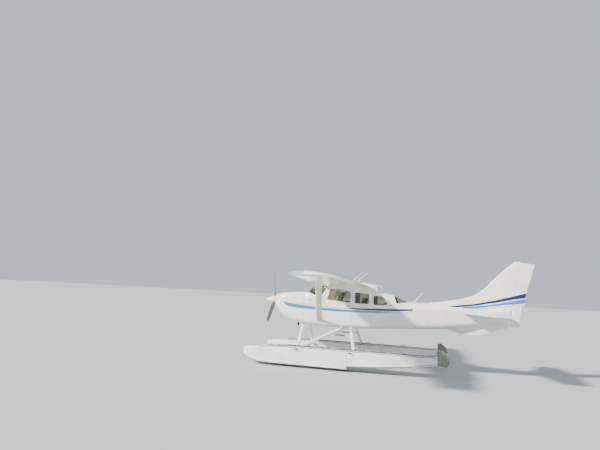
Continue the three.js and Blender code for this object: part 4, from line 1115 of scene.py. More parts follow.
@dataclass
class Wing:
    """One wing with its flap, aileron, strut, light and fittings."""

    name: str
    side: int
    half_span: float = 5460
    tip_start: float = 5330
    tip_sweep: float = 130
    tip_return: float = 40
    flap_inner: float = 600
    flap_outer: float = 2520
    flap_share: float = 0.73
    aileron_inner: float = 2575
    aileron_outer: float = 5180
    aileron_share: float = 0.78
    hinge_gap: float = 8
    thickness: float = 0.12
    camber: float = 0.02
    camber_place: float = 0.4
    strut_foot: tuple = (2020, 540, -575)
    strut_head: tuple = (2400, 2560, 660)

    leading = [(500, 2100), (2540, 2100), (5330, 2309), (5460, 2350)]
    trailing = [(500, 3730), (2540, 3730), (5330, 3446), (5460, 3436)]
    leading_height = [(500, 583), (2540, 645), (5330, 742), (5460, 736)]
    trailing_height = [(500, 543), (2540, 605), (5330, 722), (5460, 712)]

    def section(self, y: float) -> tuple[float, float, float, float, float]:
        """Leading edge, chord, its two end heights and the thickness share at a butt line."""
        start, end = taut(self.leading, y), taut(self.trailing, y)
        thick = self.thickness
        if y > self.tip_start:
            t = (y - self.tip_start) / (self.half_span - self.tip_start)
            swell = math.sqrt(max(1 - t * t, 0.0))
            start += self.tip_sweep * (1 - swell)
            end -= self.tip_return * (1 - swell)
            thick = self.thickness * max(swell, 0.12)
        front, back = taut(self.leading_height, y), taut(self.trailing_height, y)
        return start, end - start, front, back, thick

    def surface(self, y: float, share: float, sign: int) -> Point2:
        """A point of the section: its station and height."""
        start, chord, front, back, thick = self.section(y)
        m, p = self.camber, self.camber_place
        if share < p:
            arch = m / p ** 2 * (2 * p * share - share ** 2)
        else:
            arch = m / (1 - p) ** 2 * (1 - 2 * p + 2 * p * share - share ** 2)
        half = 5 * thick * (0.2969 * math.sqrt(share) - 0.126 * share - 0.3516 * share ** 2
                            + 0.2843 * share ** 3 - 0.1015 * share ** 4)
        return start + share * chord, front + share * (back - front) + chord * (arch + sign * half)

    def ring(self, y: float, end_share: float) -> list[Vector]:
        """The wing's section from its leading edge back to a share of the chord."""
        shares = [end_share * (1 - math.cos(math.pi * i / 48)) for i in range(25)]
        upper = [self.surface(y, share, 1) for share in shares]
        lower = [self.surface(y, share, -1) for share in reversed(shares[1:])]
        return [at(x, self.side * y, z) for x, z in upper + lower]

    def hinge_section(self, y: float, share: float) -> tuple[float, float, float, float, float]:
        """Nose centre station and height, nose radius, length and tail rise."""
        x, high = self.surface(y, share, 1)
        _, low = self.surface(y, share, -1)
        tail_x, tail_high = self.surface(y, 1, 1)
        nose, centre = (high - low) / 2, (high + low) / 2
        hinge = x + nose + self.hinge_gap
        return hinge, centre, nose, tail_x - 1 - hinge, tail_high - centre

    def build(self) -> None:
        """Makes every piece of this wing."""
        self.panel()
        self.surface_piece("flap", self.flap_inner, self.flap_outer, self.flap_share)
        self.surface_piece("aileron", self.aileron_inner, self.aileron_outer, self.aileron_share)
        self.strut()
        self.flap_brackets()
        self.tip_light()
        self.fuel_cap()
        self.tie_down()
        self.wicks()
        if self.side == PORT:
            self.pitot()
            self.landing_light()

    def panel(self) -> None:
        """The wing's fixed box and its rounded tip."""
        wide = self.half_span - self.tip_start
        tip = [self.half_span - wide * (1 - math.sin(math.pi * i / 16)) for i in range(9)]
        inner = grid_skin("wing_" + self.name + "_skin",
                          [self.ring(y, self.flap_share) for y in spread(500, 2548, 12)])
        outer = grid_skin("cutter", [self.ring(y, self.aileron_share)
                                     for y in [*spread(2540, 5320, 16), *tip]])
        end = grid_skin("cutter", [self.ring(y, 1)
                                   for y in [*spread(self.aileron_outer + 15, 5325, 4), *tip]])
        for piece in (inner, outer, end):
            cap_ends(piece)
        carve(inner, [outer, end], "UNION")
        smooth(inner, 30)
        dress(inner, Finishes.wing_paint)
        paint_faces(inner, Finishes.tip_blue, lambda face: abs(face.center.y) > 5.335
                    and face.center.x < at(2700, 0, 0).x and face.normal.z > -0.2)
        place(inner, AIRFRAME, "wing_" + self.name)

    def surface_piece(self, kind: str, start: float, end: float, share: float) -> None:
        """A flap or an aileron with its pressed beads."""
        rows = []
        for y in spread(start, end, int((end - start) / 13)):
            hinge, centre, nose, length, rise = self.hinge_section(y, share)
            rows.append([at(hinge + x, self.side * y, centre + z)
                         for x, z in hinged_ring(nose, length, rise, y - start)])
        name = f"{kind}_{self.name}"
        piece = cap_ends(grid_skin(name + "_skin", rows))
        fit(piece, Finishes.plain_paint, "white_paint", name, name, angle=30)

    def strut(self) -> None:
        """The lift strut, flared into a fairing under the wing, with a cuff at its foot."""
        low, high = Vector(self.strut_foot), Vector(self.strut_head)
        chord = FairLine([(0, 214), (0.03, 206), (0.06, 190), (0.84, 190), (0.9, 236),
                          (0.935, 330), (1, 330)])
        thick = FairLine([(0, 80), (0.03, 76), (0.06, 66), (0.84, 66), (0.9, 84), (0.935, 118),
                          (1, 118)])
        axis = (high - low).normalized()
        along = (AFT - axis * axis.x).normalized()
        across = axis.cross(along)
        rows = []
        for share in [*spread(0, 0.08, 6), *spread(0.12, 0.8, 12), *spread(0.83, 1.0, 14)]:
            centre = low.lerp(high, share)
            ring = []
            for a in around(36):
                point = (centre + along * (chord(share) / 2 * math.cos(a))
                         + across * (thick(share) / 2 * math.sin(a)))
                ring.append(at(point.x, self.side * point.y, point.z))
            rows.append(ring)
        name = "wing_strut_" + self.name
        piece = cap_ends(grid_skin(name + "_skin", rows))
        fit(piece, Finishes.strut_paint, "strut_paint", AIRFRAME, name, angle=40)

    def flap_brackets(self) -> None:
        """Plates that carry the flap: fixed ones from the wing, moving ones from the flap."""
        fixed, moving = [], []
        for y in (660, 1560, 2460):
            front, centre, nose, *_ = self.hinge_section(y, self.flap_share)
            pin = (front - nose + 90, centre - nose - 70)
            under = self.surface(y, 0.66, -1)
            shapes = (
                (fixed, y, [(under[0], under[1] + 12, 0), (front - nose - 8, centre - nose + 14, 0),
                            (pin[0] + 22, pin[1] + 6, 14), (pin[0] + 6, pin[1] - 20, 14),
                            (pin[0] - 40, pin[1] + 2, 20)]),
                (moving, y + 9, [(front - 5, centre - nose + 10, 0),
                                 (front + 120, centre - nose + 26, 0),
                                 (pin[0] + 20, pin[1] - 12, 12), (pin[0] - 18, pin[1] - 14, 12),
                                 (pin[0] - 18, pin[1] + 16, 12)]),
            )
            for pieces, butt, outline in shapes:
                pieces.append(side_prism("plate", outline, self.side * butt - 2.5,
                                         self.side * butt + 2.5))
        for pieces, name, body in ((fixed, "flap_bracket_", AIRFRAME),
                                   (moving, "flap_arm_", "flap_" + self.name)):
            piece = bevel(fuse(name + self.name, pieces), 0.0012, 2)
            fit(piece, Finishes.plain_paint, "white_paint", body)

    def tip_light(self) -> None:
        """The tip's lens, red to port and green to starboard."""
        lens = Finishes.red_lens if self.side == PORT else Finishes.green_lens
        x, z = self.surface(5400, 0.0, 1)
        light = ellipsoid("tip_light_" + self.name, at(x + 40, self.side * 5428, z),
                          (0.035, 0.012, 0.016), 24, 16)
        fit(light, lens, "", AIRFRAME, angle=60)

    def fuel_cap(self) -> None:
        """The filler cap with its turning bar."""
        x, z = self.surface(1150, 0.3, 1)
        cap = rod("fuel_cap_" + self.name, at(x, self.side * 1150, z - 6),
                  at(x, self.side * 1150, z + 5), 0.088, sides=40, guide=AFT)
        bar = block("bar", at(x - 30, self.side * 1150 - 7, z + 2),
                    at(x + 30, self.side * 1150 + 7, z + 12))
        cap = bevel(fuse("fuel_cap_" + self.name, [cap, bar]), 0.0025, 2)
        fit(cap, Finishes.aluminium, "bare_aluminium", AIRFRAME)

    def tie_down(self) -> None:
        """The tie-down ring, a little outboard of the strut's head."""
        x, z = self.surface(2700, 0.3, -1)
        deselect()
        bpy.ops.mesh.primitive_torus_add(major_radius=0.022, minor_radius=0.004,
                                         major_segments=28, minor_segments=8)
        ring = named("tie_down_ring_" + self.name)
        ring.data.transform(Matrix.Translation(at(x, self.side * 2700, z - 18))
                            @ Matrix.Rotation(math.pi / 2, 4, "X"))
        fit(ring, Finishes.steel, "bare_steel", AIRFRAME, angle=60)

    def wicks(self) -> None:
        """Two static wicks on the aileron's trailing edge."""
        wicks = []
        for y in (4300, 4950):
            hinge, centre, _, length, rise = self.hinge_section(y, self.aileron_share)
            start = at(hinge + length - 30, self.side * y, centre + rise + 2)
            wicks.append(tube("wick", [start, start + Vector((0.17, 0, -0.004))], 0.0022, 8))
        wick = fuse("static_wicks_" + self.name, wicks)
        fit(wick, Finishes.trim, "dark_trim", "aileron_" + self.name, angle=60)

    def landing_light(self) -> None:
        """A clear cover let into the leading edge, over a dark lamp pan."""
        for name, low, high, swell, finish in (
                ("landing_light_pan", 3590, 3830, 1.02, Finishes.trim),
                ("landing_light_cover", 3606, 3814, 1.05, Finishes.dark_lens)):
            rows = []
            for y in spread(low, high, 6):
                core = self.surface(y, 0.07, 1), self.surface(y, 0.07, -1)
                cx, cz = (core[0][0] + core[1][0]) / 2, (core[0][1] + core[1][1]) / 2
                edge = [self.surface(y, s, 1) for s in (0.036, 0.024, 0.014, 0.006, 0.002)]
                edge += [self.surface(y, s, -1) for s in (0, 0.002, 0.006, 0.014, 0.024, 0.036)]
                outer = [(cx + (x - cx) * swell, cz + (z - cz) * swell) for x, z in edge]
                inner = [(cx + (x - cx) * 0.97, cz + (z - cz) * 0.97) for x, z in edge]
                rows.append([at(x, self.side * y, z) for x, z in outer + inner[::-1]])
            fit(cap_ends(grid_skin(name, rows)), finish, "", AIRFRAME, angle=40)

    def pitot(self) -> None:
        """The pitot head: a bent probe under the port wing."""
        x, z = self.surface(1950, 0.12, -1)
        y = self.side * 1950
        path = [at(x + 60, y, z + 10), at(x + 50, y, z - 55), at(x + 40, y, z - 95),
                at(x + 18, y, z - 116), at(x - 20, y, z - 120), at(x - 190, y, z - 120)]
        probe = tube("pitot_head", path, 0.009, 16)
        fit(probe, Finishes.aluminium, "bare_aluminium", AIRFRAME, angle=60)


# Tail

@dataclass
class Tail:
    """Fin, rudder, ventral fin, stabilizers and elevator."""

    hinge_station: float = 7935
    hinge_lean: float = 0.175
    hinge_gap: float = 8
    rudder_low: float = -425
    rudder_high: float = 1535
    nose_foot: float = 38
    nose_taper: float = 18
    elevator_station: float = 7400
    elevator_height: float = -85
    top_slope: float = 0.125
    top_start: float = 1300

    bulge = FairLine([(0, 0), (0.03, 0.42), (0.1, 0.7), (0.22, 0.9), (0.4, 1.0), (0.7, 0.96),
                      (1, 0.84)])
    fin_leading = FairLine([(60, 5430), (165, 5450), (215, 5800), (330, 6370), (440, 6750),
                            (540, 6905), (720, 7130), (910, 7312), (1280, 7680), (1560, 7990)])
    fin_thickness = FairLine([(60, 80), (540, 75), (910, 66), (1280, 55), (1520, 47), (1545, 40),
                              (1560, 24)])
    rudder_trailing = [(-425, 8105), (-190, 8130), (210, 8200), (235, 8262), (610, 8315),
                       (1080, 8455), (1535, 8570)]
    stabilizer = {
        "leading": [(40, 6430), (1930, 6930), (1980, 6990)],
        "thickness": [(40, 106), (1930, 60), (1980, 36)],
        "nose": [(40, 42), (1930, 24), (1980, 20)],
        "trailing": [(40, 7845), (1930, 7725), (1980, 7700)],
    }

    def build(self) -> None:
        """Makes every piece of the tail."""
        self.fin()
        self.rudder()
        self.ventral_fin()
        for name, side in SIDES.items():
            self.stabilizer_half(name, side)
        self.elevator()
        self.lamp()

    def hinge(self, height: float) -> float:
        """The rudder hinge's station at a height."""
        return self.hinge_station + self.hinge_lean * height

    def nose(self, height: float) -> float:
        """The rudder's nose radius at a height."""
        return self.nose_foot - self.nose_taper * (height + 430) / 1990

    def foil(self, start: float, end: float, half: float) -> list[Point2]:
        """A fixed surface's section as (station, offset), out along one side and back."""
        shares = [(1 - math.cos(math.pi * i / 18)) / 2 for i in range(19)]
        upper = [(start + s * (end - start), self.bulge(s) * half) for s in shares]
        return upper + [(x, -out) for x, out in reversed(upper[1:])]

    def fin(self) -> None:
        """The fin with its long dorsal fillet."""
        rows = []
        for height in [*spread(60, 540, 26), *spread(560, 1500, 24), 1520, 1535, 1547, 1555, 1560]:
            start = self.fin_leading(height)
            end = self.hinge(height) - self.nose(height) - self.hinge_gap
            half = self.fin_thickness(height) / 2
            rows.append([at(x, -out, height) for x, out in self.foil(start, end, half)])
        piece = cap_ends(grid_skin("fin_skin", rows))
        fit(piece, Finishes.livery, "white_paint", AIRFRAME, "fin", angle=32)

    def rudder(self) -> None:
        """The rudder with its pressed beads."""
        rows = []
        low, high = self.rudder_low, self.rudder_high
        for height in sorted({*spread(low, high, 150), 210, 235}):
            nose, hinge = self.nose(height), self.hinge(height)
            length = taut(self.rudder_trailing, height) - hinge
            fall = self.top_slope * max(height - self.top_start, 0) / (high - self.top_start)
            rows.append([at(hinge + x, y, height - fall * max(x, 0))
                         for x, y in hinged_ring(nose, length, 0, height - low)])
        piece = cap_ends(grid_skin("rudder_skin", rows))
        fit(piece, Finishes.livery, "white_paint", "rudder", "rudder", angle=30)

    def ventral_fin(self) -> None:
        """The long keel fin under the tail that floats call for."""
        outline = [(6050, -560, 10), (6055, -640, 60), (6550, -768, 120), (7060, -742, 60),
                   (7210, -656, 40), (7440, -580, 60), (7800, -468, 20), (7800, -250, 0),
                   (6800, -400, 0)]
        piece = bevel(side_prism("ventral_fin_skin", outline, -15, 15), 0.009, 3)
        fit(piece, Finishes.plain_paint, "white_paint", AIRFRAME, "ventral_fin")

    def stabilizer_half(self, name: str, side: int) -> None:
        """One half of the fixed tailplane."""
        rows = []
        for y in [*spread(40, 1930, 24), 1945, 1958, 1970, 1980]:
            start = taut(self.stabilizer["leading"], y)
            end = self.elevator_station - taut(self.stabilizer["nose"], y) - self.hinge_gap
            half = taut(self.stabilizer["thickness"], y) / 2
            rows.append([at(x, side * y, self.elevator_height + out)
                         for x, out in self.foil(start, end, half)])
        piece = cap_ends(grid_skin("stabilizer_" + name + "_skin", rows))
        fit(piece, Finishes.plain_paint, "white_paint", AIRFRAME, "stabilizer_" + name, angle=32)

    def elevator(self) -> None:
        """Both elevator halves on their torque tube, with the trim tab cut on one."""
        halves = []
        for side in SIDES.values():
            rows = []
            for y in spread(152, 1965, 140):
                nose = taut(self.stabilizer["nose"], y)
                length = taut(self.stabilizer["trailing"], y) - self.elevator_station
                rows.append([at(self.elevator_station + x, side * y, self.elevator_height + z)
                             for x, z in hinged_ring(nose, length, 0, y)])
            halves.append(cap_ends(grid_skin("elevator_half", rows)))
        slots = [
            block("cutter", at(7700, 380, -130), at(7704, 1120, -40)),
            block("cutter", at(7702, 380, -130), at(7860, 384, -40)),
            block("cutter", at(7702, 1116, -130), at(7860, 1120, -40)),
        ]
        carve(halves[1], slots)
        pipe = rod("pipe", at(self.elevator_station, -172, self.elevator_height),
                   at(self.elevator_station, 172, self.elevator_height), 0.044, sides=24)
        piece = fuse("elevator_skin", [*halves, pipe])
        fit(piece, Finishes.plain_paint, "white_paint", "elevator", "elevator", angle=30)

    def lamp(self) -> None:
        """The white lamp on the rudder's trailing edge."""
        lamp = ellipsoid("rudder_lamp", at(8262, 0, 222), (0.03, 0.014, 0.02), 20, 12)
        fit(lamp, Finishes.clear_lens, "", "rudder", angle=60)


# Floats and their rigging

FLOAT_BUTT = 1180
FLOAT_COLUMNS = ("half_width", "deck", "chine", "keel")


class Hull:
    """One length of a float's hull, with fair lines through its sections."""

    def __init__(self, rows: tuple) -> None:
        """Draws the lines; a row is (station, half width, deck, chine, keel)."""
        self.start, self.end = rows[0][0], rows[-1][0]
        self.lines = {name: FairLine([(row[0], row[i + 1]) for row in rows])
                      for i, name in enumerate(FLOAT_COLUMNS)}

    def size(self, name: str, station: float) -> float:
        """One size of the section at a station."""
        return self.lines[name](station)

    def shoulder(self, station: float) -> float:
        """The radius where the deck turns down into the side."""
        wide = self.size("half_width", station)
        depth = self.size("deck", station) - self.size("chine", station)
        return min(55, wide * 0.4, depth * 0.5)

    def half_ring(self, station: float) -> list[Point2]:
        """The section from the middle of the deck down to the keel."""
        wide, deck, chine, keel = (self.size(n, station) for n in FLOAT_COLUMNS)
        turn = self.shoulder(station)
        flat = wide - turn
        points = [(flat * t, deck + 5 * (1 - t * t)) for t in (0.0, 0.25, 0.5, 0.75, 0.92)]
        points += [(flat + turn * math.sin(a), deck - turn + turn * math.cos(a))
                   for a in (math.radians(90 * i / 7) for i in range(8))]
        points += [(wide, chine + (deck - turn - chine) * t) for t in (0.75, 0.5, 0.25)]
        points += [(wide, chine + 7), (wide + 13, chine - 3), (wide + 11, chine - 10),
                   (wide - 12, chine - 5)]
        fall = FairLine([(0, 0), (0.2, 0.1), (0.55, 0.55), (1, 1)])
        points += [(wide * (1 - u), chine + (keel - chine) * fall(u))
                   for u in (0.1, 0.2, 0.3, 0.42, 0.55, 0.68, 0.8, 0.9)]
        points.append((min(12, wide * 0.2), keel))
        return points

    def ring(self, station: float, side: int) -> list[Vector]:
        """The whole section as points."""
        half = self.half_ring(station)
        outline = half + [(-y, z) for y, z in reversed(half[1:])]
        return [at(station, side * FLOAT_BUTT + y, z) for y, z in outline]

    def skin(self, name: str, side: int, extra: tuple = ()) -> Piece:
        """The closed hull between its ends."""
        stations = sorted({*spread(self.start, self.end,
                                   int((self.end - self.start) / 45) + 2), *extra})
        return cap_ends(grid_skin(name, [self.ring(s, side) for s in stations]))


FOREBODY = Hull((
    (-215, 62, -1545, -1634, -1690), (-212, 102, -1526, -1644, -1714),
    (-206, 140, -1514, -1654, -1738), (-198, 170, -1506, -1664, -1762),
    (-150, 224, -1486, -1690, -1810), (-80, 262, -1470, -1718, -1852),
    (10, 288, -1454, -1752, -1896), (110, 302, -1446, -1789, -1925),
    (230, 313, -1435, -1824, -1946), (420, 323, -1419, -1862, -1966),
    (900, 332, -1390, -1874, -1981), (1450, 335, -1367, -1877, -1985),
    (3120, 335, -1367, -1877, -1985)))
AFTERBODY = Hull((
    (3090, 328, -1367, -1792, -1905), (3900, 306, -1367, -1742, -1845),
    (4800, 250, -1370, -1668, -1756), (5710, 160, -1376, -1566, -1626)))
STEP_STATION = 3120


def hull_at(station: float) -> Hull:
    """The length of hull that a station lies in."""
    return FOREBODY if station < STEP_STATION else AFTERBODY


@dataclass
class Float:
    """One float with its deck, hatches, cleats and water rudder."""

    name: str
    side: int
    grip_start: float = 560
    hatch_stations: tuple = (820, 2150, 2650, 3700, 4350)
    hatch_radius: float = 105
    cleat_stations: tuple = (60, 3420, 4630)
    pump_stations: tuple = (480, 1180, 1830, 2420, 2930, 3560, 4080, 4760, 5300)
    frame_stations: tuple = (480, 1180, 1830, 2420, 3560, 4080, 4760, 5300)
    eye_stations: tuple = (1540, 3200)
    post_station: float = 5765
    bracket_heights: tuple = (-1405, -1500)

    def on_deck(self, station: float, butt: float = 0.0, rise: float = 0.0) -> Vector:
        """A point over the deck; the butt line is the float's own."""
        hull = hull_at(station)
        flat = hull.size("half_width", station) - hull.shoulder(station)
        crown = 5 * (1 - min(abs(butt) / flat, 1) ** 2)
        height = hull.size("deck", station) + crown + rise
        return at(station, self.side * FLOAT_BUTT + butt, height)

    def build(self) -> None:
        """Makes every piece of this float."""
        self.hull()
        self.deck()
        self.hatches()
        self.cleats()
        self.pumps()
        self.side_eyes()
        self.stern_brackets()
        self.water_rudder()

    def hull(self) -> None:
        """The hull with its step, and a painted line along the deck's edge."""
        fore = FOREBODY.skin("float_" + self.name + "_hull", self.side,
                             (-213.5, -208, -204, -194, -175, -160, -140, -95, -60, -20))
        aft = AFTERBODY.skin("cutter", self.side)
        carve(fore, [aft], "UNION")
        smooth(fore, 28)
        dress(fore, Finishes.float_paint)

        def edge(face: Face) -> bool:
            """Whether a face lies on the turn between the deck and the side."""
            x = station_of(face.center)
            rim = face.center.z > 0.35 and face.normal.z > 0.62
            return rim and abs(face.normal.y) > 0.35 and x > 300
        paint_faces(fore, Finishes.edge_line, edge)
        if self.side == PORT:
            paint_faces(fore, Finishes.red_paint, lambda face: edge(face)
                        and at(4400, 0, 0).x < face.center.x < at(4800, 0, 0).x)
        place(fore, AIRFRAME, "float_" + self.name)

    def deck(self) -> None:
        """Sanded walkway paint on the deck, a little proud of it."""
        rows = []
        for station in spread(self.grip_start, 5660, 130):
            hull = hull_at(station)
            wide = (hull.size("half_width", station) - hull.shoulder(station)) * 0.6
            upper = [self.on_deck(station, wide * t, 1.2) for t in spread(-1, 1, 9)]
            lower = [self.on_deck(station, wide * t, -2.0) for t in spread(1, -1, 9)]
            rows.append(upper + lower)
        walk = cap_ends(grid_skin("float_" + self.name + "_walkway", rows))
        fit(walk, Finishes.deck_grip, "", AIRFRAME, angle=30)

    def hatches(self) -> None:
        """Round hatch covers with a rim, a lid and a turning bar."""
        pieces = []
        for station in self.hatch_stations:
            foot = self.on_deck(station, rise=-8)
            wide = 2 * self.hatch_radius * MM
            rim = rod("rim", foot, foot + UP * 0.0125, wide, sides=48, guide=AFT)
            lid = rod("lid", foot, foot + UP * 0.016, wide * 0.8, sides=48, guide=AFT)
            bar = block("bar", foot + Vector((-0.055, -0.009, 0.013)),
                        foot + Vector((0.055, 0.009, 0.024)))
            pieces += [bevel(rim, 0.003), bevel(lid, 0.0035), bevel(bar, 0.004)]
        cover = fuse("float_" + self.name + "_hatches", pieces)
        fit(cover, Finishes.hatch, "float_paint", AIRFRAME, angle=40)

    def cleats(self) -> None:
        """Horn cleats: a base, two legs and a horn with raised tips."""
        pieces = []
        for station in self.cleat_stations:
            base = self.on_deck(station, rise=-3)
            plate = block("plate", base + Vector((-0.055, -0.016, 0)),
                          base + Vector((0.055, 0.016, 0.009)))
            legs = [tube("leg", [base + Vector((dx, 0, 0.004)),
                                 base + Vector((dx * 0.8, 0, 0.042))], 0.009, 12)
                    for dx in (-0.03, 0.03)]
            horn = tube("horn", [base + Vector(p) for p in (
                (-0.09, 0, 0.050), (-0.065, 0, 0.045), (-0.03, 0, 0.042), (0.03, 0, 0.042),
                (0.065, 0, 0.045), (0.09, 0, 0.050))], 0.0085, 12)
            pieces += [bevel(plate, 0.004), *legs, horn]
        cleat = fuse("float_" + self.name + "_cleats", pieces)
        fit(cleat, Finishes.aluminium, "bare_aluminium", AIRFRAME, angle=50)

    def pumps(self) -> None:
        """Bilge pump cups along the inboard edge, each closed by a rubber ball."""
        cups, balls = [], []
        for station in self.pump_stations:
            hull = hull_at(station)
            reach = hull.size("half_width", station) - hull.shoulder(station) - 30
            foot = self.on_deck(station, -self.side * reach, -4)
            cups.append(bevel(rod("cup", foot, foot + Vector((0, 0, 0.011)), 0.052, sides=24,
                                  guide=AFT), 0.002))
            deselect()
            bpy.ops.mesh.primitive_uv_sphere_add(segments=16, ring_count=10, radius=0.016,
                                                 location=foot + Vector((0, 0, 0.014)))
            bpy.ops.object.transform_apply(location=True)
            balls.append(named("ball"))
        cup = fuse("float_" + self.name + "_pump_cups", cups)
        fit(cup, Finishes.aluminium, "bare_aluminium", AIRFRAME, angle=40)
        ball = fuse("float_" + self.name + "_pump_balls", balls)
        fit(ball, Finishes.rubber, "dark_trim", AIRFRAME, angle=60)

    def side_eyes(self) -> None:
        """Two mooring eyes on strap plates, high on the outboard side."""
        parts = []
        for station in self.eye_stations:
            hull = hull_at(station)
            height = hull.size("deck", station) - 62
            butt = self.side * (FLOAT_BUTT + hull.size("half_width", station) - 3)
            plate = block("plate", at(station - 150, butt, height - 9),
                          at(station + 70, butt + self.side * 9, height + 9))
            stem = rod("stem", at(station + 36, butt, height),
                       at(station + 36, butt + self.side * 42, height), 0.022, sides=16)
            eye = [at(station + 36 + 24 * math.cos(a), butt + self.side * 46,
                      height + 24 * math.sin(a)) for a in spread(0, 2 * math.pi, 20)[:-1]]
            parts += [bevel(plate, 0.002), bevel(stem, 0.002),
                      ring_tube("eye", eye, 0.007, 10)]
        piece = fuse("float_" + self.name + "_side_eyes", parts)
        fit(piece, Finishes.dark_fitting, "bare_steel", AIRFRAME, angle=40)

    def stern_brackets(self) -> None:
        """Two plates at the stern that carry the water rudder's post."""
        y = self.side * FLOAT_BUTT
        plates = []
        for height in self.bracket_heights:
            outline = [(5700, y - 30, 4), (5797, y - 30, 24), (5797, y + 30, 24), (5700, y + 30, 4)]
            points = [at(px, py, height - 6) for px, py in rounded(outline)]
            plates.append(slab("plate", points, Vector((0, 0, 0.012))))
        bracket = fuse("rudder_bracket_" + self.name, plates)
        hole = rod("cutter", at(self.post_station, y, -1700), at(self.post_station, y, -1100),
                   0.038, sides=32)
        carve(bracket, [hole])
        fit(bevel(bracket, 0.0012), Finishes.steel, "bare_steel", AIRFRAME)

    def water_rudder(self) -> None:
        """The water rudder: a post, a ribbed plate and a steering arm."""
        y = self.side * FLOAT_BUTT
        body = "water_rudder_" + self.name
        outline = [(5765, -1200, 5), (5850, -1170, 20), (6010, -1290, 40), (6085, -1470, 60),
                   (6010, -1650, 60), (5800, -1620, 30), (5765, -1560, 5)]
        plate = side_prism(body + "_plate", outline, y - 6, y + 6)
        notches = [block("cutter", at(5778, y - 30, height - 14), at(5817, y + 30, height + 14))
                   for height in self.bracket_heights]
        carve(plate, notches)
        x = self.post_station
        post = rod("post", at(x, y, -1640), at(x, y, -1180), 0.03, sides=28)
        ribs = [rod("rib", at(5835, y, z), at(6010 - abs(z + 1450) * 0.12, y, z - 18), 0.02,
                    0.023, sides=16, guide=UP)
                for z in (-1300, -1375, -1450, -1535, -1590)]
        piece = fuse(body + "_blade", [bevel(plate, 0.003), post, *ribs])
        fit(piece, Finishes.rudder_plate, "float_paint", body, body, angle=40)
        edge_path = [at(px, y, pz) for px, pz in ((5858, -1168), (5930, -1222), (6006, -1280),
                                                  (6040, -1350), (6075, -1440))]
        edge = tube(body + "_edge_strip", edge_path, 0.008, 12)
        fit(edge, Finishes.aluminium, "bare_aluminium", body, angle=60)
        arm = block("arm", at(x - 20, y - 85, -1188), at(x + 20, y + 85, -1180))
        pins = [rod("pin", at(x, y + dy, -1192), at(x, y + dy, -1172), 0.012, sides=12)
                for dy in (-72, 72)]
        crank = fuse(body + "_arm", [bevel(arm, 0.003), *pins])
        fit(crank, Finishes.steel, "bare_steel", body, angle=40)


